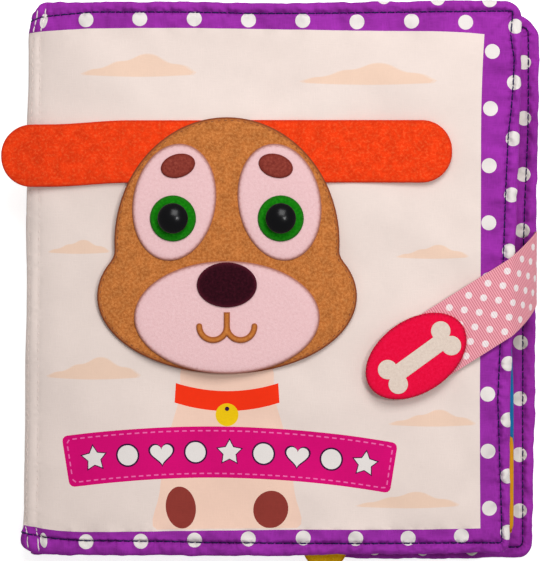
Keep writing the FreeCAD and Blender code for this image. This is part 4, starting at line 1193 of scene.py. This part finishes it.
def felt_piece(
    name, outline, bottom, top, finish, step, tuck, holes=(), lumps=0.07, drop=None, crisp=()
):
    """A cut piece of felt between two levels: a browned wall, a soft rim and a lumpy face.

    tuck is how far the face sinks towards the sewn edge, and drop(x, y) lowers the whole
    piece where it hangs. The loops numbered in crisp, where 0 is the outline, are cut
    sharply and aren't browned.
    """
    loops = [outline, *[h[::-1] for h in holes]]
    rounds = [0.1 if i in crisp else FELT_ROUND for i in range(len(loops))]
    points, flat, rim, faces = [], [], [], []

    def from_edge(plan):
        far = [edge_place(plan, loop)[0] for i, loop in enumerate(loops) if i not in crisp]
        return np.min(far, axis=0) if far else np.full(len(plan), 30.0)

    def level(plan, depth, is_top):
        d = from_edge(plan)
        x, y = plan.T
        face = top - tuck * np.exp(-d / 1.6) + lumps * ripple(x, y, 2.6, top) * smooth(d / 1.5)
        face += 2.2 * lumps * ripple(x, y, 14.0, top + 5) * smooth(d / 4)
        z = face - depth if is_top else np.full(len(plan), bottom)
        return z if drop is None else z - drop(x, y)

    def add(plan, z, flats, rims):
        first = sum(len(part) for part in points)
        points.append(np.column_stack([plan, z]))
        flat.append(flats)
        rim.append(rims)
        return first

    high = level(outline, 0, True).mean() - bottom
    for loop, edge_round in zip(loops, rounds):
        browned = np.full(len(loop), float(edge_round == FELT_ROUND))
        starts = [add(loop, level(loop, 0, False), inset(loop, -high), browned)]
        for angle in np.arange(4) / 3 * math.pi / 2:
            under = edge_round * (1 - math.sin(angle))
            plan = inset(loop, edge_round * (1 - math.cos(angle)))
            starts.append(add(plan, level(plan, under, True), inset(loop, -under), browned))
        for a, b in zip(starts, starts[1:]):
            for i in range(len(loop)):
                j = (i + 1) % len(loop)
                faces.append((a + i, a + j, b + j, b + i))
    inner = [inset(loop, edge_round) for loop, edge_round in zip(loops, rounds)]
    rings = [inset(loop, FELT_ROUND + depth) for loop in loops for depth in (0.5, 1.1, 1.9, 3.0)]
    seeds = np.vstack([*rings, grid(outline.min(0), outline.max(0), step)])
    for is_top, edge in ((True, inner), (False, loops)):
        plan, cells = triangulate(edge[0], edge[1:], seeds if is_top else seeds[:0], 0.3)
        for hole in edge[1:]:
            cells = cells[~inside(plan[cells].mean(1), hole)]
        near = np.exp(-np.maximum(from_edge(plan) - FELT_ROUND, 0) / 0.45)
        flats, rims = (plan, near) if is_top else (plan + FELT_APART, np.ones(len(plan)))
        first = add(plan, level(plan, 0, is_top), flats, rims)
        faces += [tuple(c + first) for c in (cells if is_top else cells[:, ::-1])]
    points, flat, rim = map(np.concatenate, (points, flat, rim))
    return mesh_object(name, points, faces, flat, [finish], rim=rim)


def sewn_on(
    name, node, outline, bottom, top, finish, on, body="front", slot=None, share=1.0, **cut
):
    """A piece of felt that stands for a CAD node, lies on another piece and rides on a body.

    share is how much of the outline's area the piece covers. slot is not used.
    """
    piece = felt_piece(name, outline, bottom, top, finish, **cut)
    width, length = np.maximum(outline.max(0) - outline.min(0), 10.0) * MM
    a, b = outline, np.roll(outline, -1, axis=0)
    area = abs(float((a[:, 0] * b[:, 1] - a[:, 1] * b[:, 0]).sum())) / 2 * share * MM * MM
    area = min(max(area, 0.31 * width * length), width * length)
    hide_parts(node)
    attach(piece, body)
    return piece


def edge_thread(name, outline, level, finish, depth, drop=None):
    """Small machine stitches just inside the edge of a felt piece of the face."""

    def surface(plan, lift):
        z = np.full(len(plan), level) + lift - THREAD_SINKS
        return np.column_stack([plan, z if drop is None else z - drop(*plan.T)])

    thread = stitches(name, surface, inset(outline, depth), finish, *FACE_STITCH, True)
    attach(thread, "front")


def egg(x, y, parts):
    """The outline of several upright ellipses joined, seen from their shared middle."""
    turn = np.arange(260) * 2 * math.pi / 260
    c, s = np.cos(turn), np.sin(turn)
    reach = np.zeros(len(turn))
    for half_width, half_height, up in parts:
        a = (c / half_width) ** 2 + (s / half_height) ** 2
        b = -2 * up * s / half_height**2
        k = (up / half_height) ** 2 - 1
        reach = np.maximum(reach, (-b + np.sqrt(np.maximum(b * b - 4 * a * k, 0))) / (2 * a))
    rounded = np.mean([np.roll(reach, k) for k in (-2, -1, 0, 1, 2)], axis=0)
    return np.column_stack([x + rounded * c, y + rounded * s])


def middle_of(node):
    low, high = span(node)
    return (low + high)[:2] / 2


def oval(node, count, lean=0.0, half=None):
    """An ellipse in the middle of a node, and as large as the node unless half is given."""
    low, high = span(node)
    half = (high - low)[:2] / 2 if half is None else half
    return ellipse(*middle_of(node), *half, lean, count)


EAR_BRIDGES = 0.45  # how much of the seam's valley an ear spans
EAR_DROOPS = 2.3  # how far its end droops past the spine
EAR_PRESSED = 0.25


def make_ears():
    """Two long ears with a round end each, of which the left one reaches past the spine."""

    def droop(x, y):
        past = smooth((ROLL_START + 4 - x) / 16)
        return slump(x) - EAR_BRIDGES * valley(x) + EAR_DROOPS * past + EAR_PRESSED

    for side in ("left", "right"):
        low, high = span(f"{side}_ear")
        low[0] -= 0.8 if side == "left" else 0.0
        radius = (high[1] - low[1]) / 2 - 0.4
        radii = [radius, 0.8, 0.8, radius] if side == "left" else [0.8, radius, radius, 0.8]
        outline = rounded_box(low, high, radii, 1.4)
        if side == "left":
            outline[:, 1] += 1.5 * smooth((outline[:, 0] + 93) / 31)
        piece = sewn_on(
            f"{side}_ear_felt", f"{side}_ear", outline, low[2] + 0.1, high[2] + 0.25,
            ORANGE_FELT, "front_cover_and_spine", step=1.9, lumps=0.09, tuck=0.35, drop=droop,
        )
        if side == "left":
            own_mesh(piece)


def make_face():
    """The puppy's head and the felt pieces sewn on it."""
    (_, _, low), (_, skull_tall, top) = span("head")
    x = middle_of("head")[0]
    outline = egg(x, 6.0, ((45.0, 50.0, skull_tall - 56.0), (52.0, 31.0, -9.5)))

    def follow(x, y):
        return slump(x)

    sewn_on("head_felt", "head", outline, low - 0.5, top, BROWN_FELT, "front_cover_and_spine",
            step=2.4, lumps=0.08, tuck=0.6, drop=follow)
    edge_thread("head_edge_thread", outline, top - 0.25, UMBER, 1.3, follow)
    for side, sign in (("left", -1), ("right", 1)):
        node, under = f"{side}_eye_patch", f"{side}_patch_felt"
        patch = oval(node, 110, 10 * sign, (16.5, 23.5))
        level = span(node)[1][2]
        sewn_on(under, node, patch, top - 0.5, level - 0.1, PINK_FELT, "head_felt",
                step=2.0, tuck=0.55)
        edge_thread(f"{side}_patch_thread", patch, level - 0.35, SHELL_THREAD, 0.9)
        node = f"{side}_brow"
        brow = oval(node, 60, -16 * sign, (7.0, 4.7))
        sewn_on(node + "_felt", node, brow, level - 0.4, level + 0.9, BROW_FELT, under,
                step=1.2, tuck=0.3)
        node = f"{side}_iris"
        low, high = span(node)
        iris = circle(*middle_of(node), (high - low)[0] / 2, 72)
        sewn_on(node + "_felt", node, iris, level - 0.4, level + 1.0, GREEN_FELT, under,
                step=1.2, tuck=0.3)
        make_eye(side)
    level = span("muzzle")[1][2]
    muzzle, nose, smile = oval("muzzle", 150), oval("nose", 80), mouth_outline()
    sewn_on("muzzle_felt", "muzzle", muzzle, top - 0.5, level, PINK_FELT, "head_felt",
            step=2.0, tuck=0.55)
    edge_thread("muzzle_thread", muzzle, level - 0.25, SHELL_THREAD, 0.9)
    high = span("nose")[1][2]
    sewn_on("nose_felt", "nose", nose, level - 0.4, high, PLUM_FELT, "muzzle_felt",
            step=1.4, tuck=0.35)
    sewn_on("mouth_felt", "mouth", smile, level - 0.3, high - 0.2, MOUTH_FELT, "muzzle_felt",
            share=1.15, step=1.0, tuck=0.2)


def mouth_outline():
    """Two half rings side by side under a short upright line, as one closed outline."""
    low, high = span("mouth")
    x, stroke = (low[0] + high[0]) / 2, 2.4
    radius = ((high[0] - low[0]) - stroke) / 4
    level = low[1] + radius + stroke / 2
    outer, inner = radius + stroke / 2, radius - stroke / 2

    def arc(aside, r, start, end, count):
        turn = np.radians(np.linspace(start, end, count))
        return np.column_stack([x + aside + r * np.cos(turn), level + r * np.sin(turn)])

    meet = math.degrees(math.acos(radius / outer))
    half, upper = stroke / 2, high[1] - 0.4
    parts = [
        arc(-radius, outer, 180, 360 - meet, 22),
        arc(radius, outer, 180 + meet, 360, 22),
        arc(2 * radius, half, 0, 180, 9)[1:],
        arc(radius, inner, 360, 180, 18)[1:],
        [(x + half, level + 2), (x + half, upper), (x - half, upper), (x - half, level + 2)],
        arc(-radius, inner, 360, 180, 18),
        arc(-2 * radius, half, 0, 180, 9)[1:-1],
    ]
    return resample(np.vstack(parts), 1.0)


def make_eye(side):
    """A glossy black dome on a shank that goes through the felt to its washer."""
    low, high = span(f"{side}_eye")
    x, y = (low + high)[:2] / 2
    radius, rim_level = (high[0] - low[0]) / 2 + 0.05, span(f"{side}_iris")[1][2]
    dome, shank, bevel, count = 2.6, 2.1, 0.3, 64
    ball = (radius**2 + dome**2) / 2 / dome
    turns = np.linspace(0, math.asin(radius / ball), 26)
    # radius and level, from the top
    profile = [(ball * math.sin(t), high[2] - ball * (1 - math.cos(t))) for t in turns]
    profile += [(radius + 0.01, rim_level + 0.17), (radius + 0.01, rim_level + 0.1)]
    profile += [(radius - bevel, rim_level), (shank, rim_level - 0.05)]
    profile += [(shank, low[2] + bevel), (shank - bevel, low[2]), (0, low[2])]
    turn = np.arange(count) * 2 * math.pi / count
    points, faces = [], []
    for reach, level in profile:
        points += [(x + reach * math.cos(t), y + reach * math.sin(t), level) for t in turn]
    for i in range(len(profile) - 1):
        for k in range(count):
            a, b = i * count + k, i * count + (k + 1) % count
            whole = (a, a + count, b + count, b)
            last = i == len(profile) - 2
            faces.append(whole[:3] if i == 0 else (a, a + count, b) if last else whole)
    flat = [p[:2] for p in points]
    eye = mesh_object(f"{side}_eye_dome", points, faces, flat, [BLACK_PLASTIC])
    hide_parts(f"{side}_eye")
    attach(eye, "front")


# ---------------------------------------------------------------- strap and badge

TILT = math.radians(32.0)
BADGE_TILT, BONE_TILT = math.radians(34.0), math.radians(36.0)
RIBBON_WIDTH, RIBBON_THICK = 26.8, 0.6
RIBBON_LONG = 125.0  # a little longer than the strap
ROWS_FROM, ROWS_APART = 9.7, 4.0  # the ribbon's rows of dots, across it
DOTS_FROM, DOTS_APART = -5.7, 9.15  # and each row's dots along it
STRAP_END = 7.0  # how far before the badge's middle the strap ends
FLAT_BEFORE, FLAT_PAST = 16.0, 12.0  # how far from the badge's middle the strap's line is flat
ROOT = 6.0  # how much of the strap lies between the back cover's sheets
# Slopes of the strap past the cover's edge: after the kink, where it drops at its upper and
# lower selvedge, and on its way down. Then the radii of its kink, its bend and its turn.
STEEP, LATE, FALL = math.radians(42), (math.radians(56), math.radians(70)), math.radians(88)
CREASE, BEND, TURN_IN = 2.0, 1.5, 1.6


def strap_line(late):
    """The strap's middle seen along Y: run from the badge's middle, x, z and slope.

    It lies on the cover, kinks over the cover's edge, sags ever more steeply to late, drops
    to the back cover's side, and turns in there between the back cover's sheets.
    """
    start = middle_of("badge")[0]
    level = span("badge")[0][2] - RIBBON_THICK / 2
    edge_x, edge_z = FRONT_HIGH[0] - 2.1, FRONT_HIGH[2] + 1.0
    reach = start + FLAT_PAST
    slope = math.atan((level - edge_z) / (edge_x - reach))
    start_x = edge_x + CREASE * (math.sin(STEEP) - math.sin(slope))
    start_z = edge_z - CREASE * (math.cos(slope) - math.cos(STEEP))
    bend_x = BEND * (math.sin(FALL) - math.sin(late)) + TURN_IN * (1 - math.sin(FALL))
    bend_z = BEND * (math.cos(late) - math.cos(FALL)) + TURN_IN * (1 + math.cos(FALL))
    wide = BACK_HIGH[0] - 1.1 - start_x - bend_x
    tall = start_z - COVER_THICK / 2 - bend_z
    across, down = math.sin(late) - math.sin(STEEP), math.cos(STEEP) - math.cos(late)
    lean = 1 / math.tan(FALL)
    sag = (wide - lean * tall) / (across - lean * down)
    parts = [
        (FLAT_PAST + FLAT_BEFORE, 0.0, 0.0),
        ((edge_x - reach) / math.cos(slope), 0.0, slope),
        (CREASE * (STEEP - slope), STEEP - slope, 0.0),
        (sag * (late - STEEP), late - STEEP, 0.0),
        (BEND * (FALL - late), FALL - late, 0.0),
        ((tall - sag * down) / math.sin(FALL), 0.0, 0.0),
        (TURN_IN * (math.pi - FALL), math.pi - FALL, 0.0),
        (ROOT, 0.0, 0.0),
    ]
    run, x, z, heading = -FLAT_BEFORE, start - FLAT_BEFORE, level, 0.0
    line = [(run, x, z, heading)]
    for length, turn, kink in parts:
        heading += kink
        steps = max(1, int(round(length / 0.2)))
        for _ in range(steps):
            half = turn / steps / 2
            x += length / steps * math.cos(heading + half)
            z -= length / steps * math.sin(heading + half)
            heading += turn / steps
            run += length / steps
            line.append((run, x, z, heading))
    return np.array(line)


def make_strap():
    """The grosgrain ribbon: ribs across it, printed dots, and smooth selvedges."""
    upper, lower = (strap_line(late) for late in LATE)
    level = middle_of("badge")[1] - 0.4
    c, s = math.cos(TILT), math.sin(TILT)
    half, end = RIBBON_WIDTH / 2, min(upper[-1, 0], lower[-1, 0])
    drops = [
        np.interp(late + 0.05, line[:, 3], line[:, 0]) for late, line in zip(LATE, (upper, lower))
    ]
    ends = (-STRAP_END, (end - half * s) / c, (end + half * s) / c, -STRAP_END)
    outline = resample(np.column_stack([ends, (-half, -half, half, half)]), 0.9)
    dots = [
        circle(p, q, 1.4, 18)
        for j, q in enumerate(np.arange(ROWS_FROM, -half, -ROWS_APART))
        for p in np.arange(DOTS_FROM + (j % 2) * DOTS_APART / 2, RIBBON_LONG, DOTS_APART)
        if p > -STRAP_END + 2 and (p + 2) * c - q * s < end
    ]
    along = np.arange(-STRAP_END + RIB / 8, RIBBON_LONG, RIB / 4)
    across = np.concatenate([[-13.2, -12.8], np.arange(-11.7, 12, 1.8), [12.8, 13.2]])
    seeds = np.array([(p, q) for p in along for q in across])
    plan, cells = triangulate(outline, dots, seeds, 0.12)
    numbers = paint(plan, cells, [(d, 1) for d in dots])

    def lay(side):
        p, q = plan.T
        run, y = p * c - q * s, level + p * s + q * c
        high = np.clip(q / half / 2 + 0.5, 0, 1)
        x, z, slope = (
            np.interp(run, upper[:, 0], upper[:, k]) * high
            + np.interp(run, lower[:, 0], lower[:, k]) * (1 - high)
            for k in (1, 2, 3)
        )
        past = np.maximum(run - drops[0] * high - drops[1] * (1 - high), 0)
        y = y - math.tan(TILT) * past**2 / (past + 0.6)
        rib = RIB_DEPTH * np.cos(2 * math.pi * p / RIB) * (np.abs(q) < 12.9)
        height = side * (RIBBON_THICK / 2 - 0.09 + rib)
        return np.column_stack([x + height * np.sin(slope), y, z + height * np.cos(slope)])

    used = {(a, b) for face in cells for a, b in zip(face, np.roll(face, -1))}
    wall = [(a, b) for a, b in sorted(used) if (b, a) not in used]
    count = len(plan)
    faces = [*cells, *(cells[:, ::-1] + count)]
    faces += [(a + count, b + count, b, a) for a, b in wall]
    numbers = np.concatenate([numbers, np.zeros(len(cells) + len(wall))])
    flat = np.vstack([plan, plan + RIBBON_APART])
    strap = mesh_object(
        "ribbon_strap", np.vstack([lay(1), lay(-1)]), faces, flat, [RIBBON, RIBBON_DOT], numbers
    )
    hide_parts("strap")
    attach(strap, "back")
    return strap


def bone_outline(x, y, grow=0.0):
    """A bone along the strap: a shaft between two pairs of round lobes."""
    span_half, lobe, spread, shaft = 13.1, 3.9 + grow, 3.6, 3.35 + grow
    start = math.atan2(shaft - spread, -math.sqrt(lobe**2 - (shaft - spread) ** 2))
    end = -math.acos(math.sqrt(lobe**2 - spread**2) / lobe)
    turn = np.linspace(start + 2 * math.pi, end, 22)[:-1]
    corner = np.column_stack([span_half + lobe * np.cos(turn), spread + lobe * np.sin(turn)])
    notch = (span_half + math.sqrt(lobe**2 - spread**2), 0)
    right = np.vstack([corner, notch, (corner * (1, -1))[::-1]])
    a, b = resample(np.vstack([right, (right * (-1, -1))])[::-1], 0.9).T
    c, s = math.cos(BONE_TILT), math.sin(BONE_TILT)
    return np.column_stack([x + a * c - b * s, y + a * s + b * c])


BADGE_HALF = (22.2, 14.55)
BONE_AREA = 290.0
WHIP_STITCHES, WHIP_RADIUS = 64, 0.11
WHIP_ROUTE = ((-1.2, -0.42), (-1.0, -0.12), (-0.4, -0.05), (0.06, -0.4), (0.12, -1.6))


def make_badge():
    """An oval of crimson felt with a pale bone let into it, whipped round its edge."""
    low, high = span("badge")
    middle = middle_of("badge")
    outline = ellipse(*middle, *BADGE_HALF, math.degrees(BADGE_TILT), 130)
    place = middle + (1.3, -0.6)
    badge = sewn_on(
        "badge_felt", "badge", outline, low[2] - 0.2, high[2], CRIMSON_FELT, "ribbon_strap",
        "back", share=1 - BONE_AREA / (math.pi * BADGE_HALF[0] * BADGE_HALF[1]),
        holes=[bone_outline(*place, 0.02)], step=1.5, lumps=0.04, tuck=0.45, crisp=(1,),
    )
    bone = sewn_on(
        "bone_felt", "bone", bone_outline(*place), low[2] - 0.1, high[2] + 0.06, CREAM_FELT,
        "ribbon_strap", "back", step=1.3, lumps=0.04, tuck=0.0, crisp=(0,),
    )
    rods = []
    c, s = math.cos(BADGE_TILT), math.sin(BADGE_TILT)
    for turn in np.arange(WHIP_STITCHES) * 2 * math.pi / WHIP_STITCHES:
        around = np.array([math.cos(turn), math.sin(turn)])
        out = around / BADGE_HALF
        out /= np.linalg.norm(out)
        route = []
        for past, level in WHIP_ROUTE:
            a, b = around * BADGE_HALF + out * past
            x, y = middle + (a * c - b * s, a * s + b * c)
            route.append((x, y, high[2] - 0.22 + level))
        rods.append(route)
    rods = np.array(rods)
    points, faces, uv = tubes(rods, np.tile((0.1, 0.2, 1.0), rods.shape[:2] + (1,)), WHIP_RADIUS)
    whip = mesh_object("badge_edge_thread", points, faces, uv, [WINE])
    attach(whip, "back")
    return [badge, bone, whip]


def make_disc(name, body, finish, under, on):
    """Half of the closure: the loop disc on the cover, or the hook disc under the strap."""
    low, high = span(name)
    outline = circle(*middle_of(name), (high - low)[0] / 2, 64)
    return sewn_on(
        name + "_tape", name, outline, low[2] - under, high[2], finish, on, body,
        slot="closure_tape", step=0.8, lumps=0.16, tuck=0.15,
    )


def make_tab():
    """The half-round pull tab that sticks out of a leaf's lower edge."""
    low, high = span("page_tab")
    outline = rounded_box(low, high, [8.4, 8.4, 0.5, 0.5], 1.0)
    sewn_on("page_tab_felt", "page_tab", outline, low[2], high[2], YELLOW_FELT, "leaf_3",
            "block", step=1.3, tuck=0.2)


FOLD_PROFILE = (  # x and z of the fold, from under the back cover up along the spine
    (-96.0, 0.12), (-99.0, 0.04), (-101.5, 0.0), (-102.9, 0.06), (-103.7, 0.45),
    (-104.05, 1.1), (-104.12, 2.2), (-104.1, 4.0), (-103.9, 6.0),
)


FOLD_ENDS, FOLD_WIDTH, FOLD_THICK = (-103.5, 105.5), 14.5, 0.35


def make_foot_fold():
    """The strip of cloth round the outer corner where the back cover meets the spine."""
    low, high = FOLD_ENDS
    print_low, print_high = -FRONT_LOW_SIDE[0][1], FRONT_TOP[0][1]
    rows = np.concatenate([
        np.linspace(low, print_low, 4)[:-1], np.linspace(print_low, print_high, 50)[:-1],
        np.linspace(print_high, high, 4),
    ])
    width = len(FOLD_PROFILE)
    points, flat, faces, numbers = [], [], [], []
    for y in rows:
        lean = max(float(np.interp(y, *SPINE_LEAN)), 0)
        for i, (x, z) in enumerate(FOLD_PROFILE):
            rise = SPINE_RISE * i / (width - 1)
            points.append((x + lean * smooth((-99 - x) / 4) * 1.3, y + rise, z))
            flat.append((2.0 * i, y))
    for j in range(len(rows) - 1):
        for a in range(j * width, j * width + width - 1):
            faces.append((a, a + width, a + width + 1, a + 1))
            numbers.append(int(not print_low <= (rows[j] + rows[j + 1]) / 2 <= print_high))
    piece = mesh_object("foot_fold", points, faces, flat, [CREAM, PURPLE], numbers)
    thick = piece.modifiers.new("thickness", "SOLIDIFY")
    thick.thickness, thick.offset = FOLD_THICK * MM, -1
    bpy.context.view_layer.objects.active = piece
    bpy.ops.object.modifier_apply(modifier=thick.name)
    return piece


# ---------------------------------------------------------------- the whole book

for piece in make_front():
    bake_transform(piece)

for piece in make_back():
    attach(piece, "back")
for number in range(LEAF_COUNT):
    for piece in make_leaf(number):
        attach(piece, "block")
make_tab()
make_ears()
make_face()
for side in ("left", "right"):
    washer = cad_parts[f"{side}_eye_washer"]
    washer.data.materials.clear()
    washer.data.materials.append(WHITE_PLASTIC)

make_disc("loop_disc", "front", LOOP_TAPE, 0.4, "front_cover_and_spine")
hook = make_disc("hook_disc", "back", HOOK_TAPE, 0.0, "loop_disc_tape")
for piece in (hook, make_strap(), *make_badge()):
    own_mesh(piece)
fold = make_foot_fold()
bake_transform(fold)

# ---------------------------------------------------------------- floor, light and camera


FLOOR_GLOW = 0.68  # how bright the floor is to the camera, besides the light that falls on it
FLOOR_LEVEL = -0.0008  # metres; a little under the book's own lowest plane


def make_floor():
    """A plain white floor, as bright as paper to the camera, that keeps the shadows."""
    corners = [(x, y, FLOOR_LEVEL) for x, y in ((-3, -3), (3, -3), (3, 3), (-3, 3))]
    mesh = plain_mesh("floor", corners, [(0, 1, 2, 3)])
    floor = linked("floor", mesh)
    finish = Finish("floor", 0.9, Base_Color=(0.9, 0.9, 0.9, 1), Emission_Color=(1, 1, 1, 1))
    rays = finish.node("LightPath").outputs
    seen = finish.calc("MAXIMUM", rays["Is Camera Ray"], rays["Is Glossy Ray"])
    seen = finish.calc("MAXIMUM", seen, rays["Is Transmission Ray"])
    finish.feed(finish.shader, Emission_Strength=finish.calc("MULTIPLY", seen, FLOOR_GLOW))
    mesh.materials.append(finish.material)


def make_lamp(name, place, size, power):
    """A square lamp that points at the book's middle, in metres and watts."""
    data = bpy.data.lights.new(name, "AREA")
    data.shape, data.size, data.energy = "SQUARE", size, power
    lamp = linked(name, data)
    lamp.location = place
    lamp.rotation_euler = (-Vector(place)).to_track_quat("-Z", "Y").to_euler()


make_floor()
make_lamp("softbox", (0.08, 0.44, 0.68), 0.4, 3.36)
make_lamp("key", (0.30, 0.05, 0.82), 0.1, 1.62)

scene = bpy.context.scene
world = bpy.data.worlds.new("studio")
world.use_nodes = True
background = world.node_tree.nodes["Background"]
background.inputs["Color"].default_value = (1, 1, 1, 1)
background.inputs["Strength"].default_value = 0.34
scene.world = world
scene.view_settings.view_transform = "Standard"

camera = linked("camera", bpy.data.cameras.new("camera"))
camera.location = (-0.0053, 0.00275, 1.536)
camera.data.lens, camera.data.sensor_width = 240.64, 36.0
camera.data.clip_start, camera.data.clip_end = 0.1, 20.0
scene.camera = camera
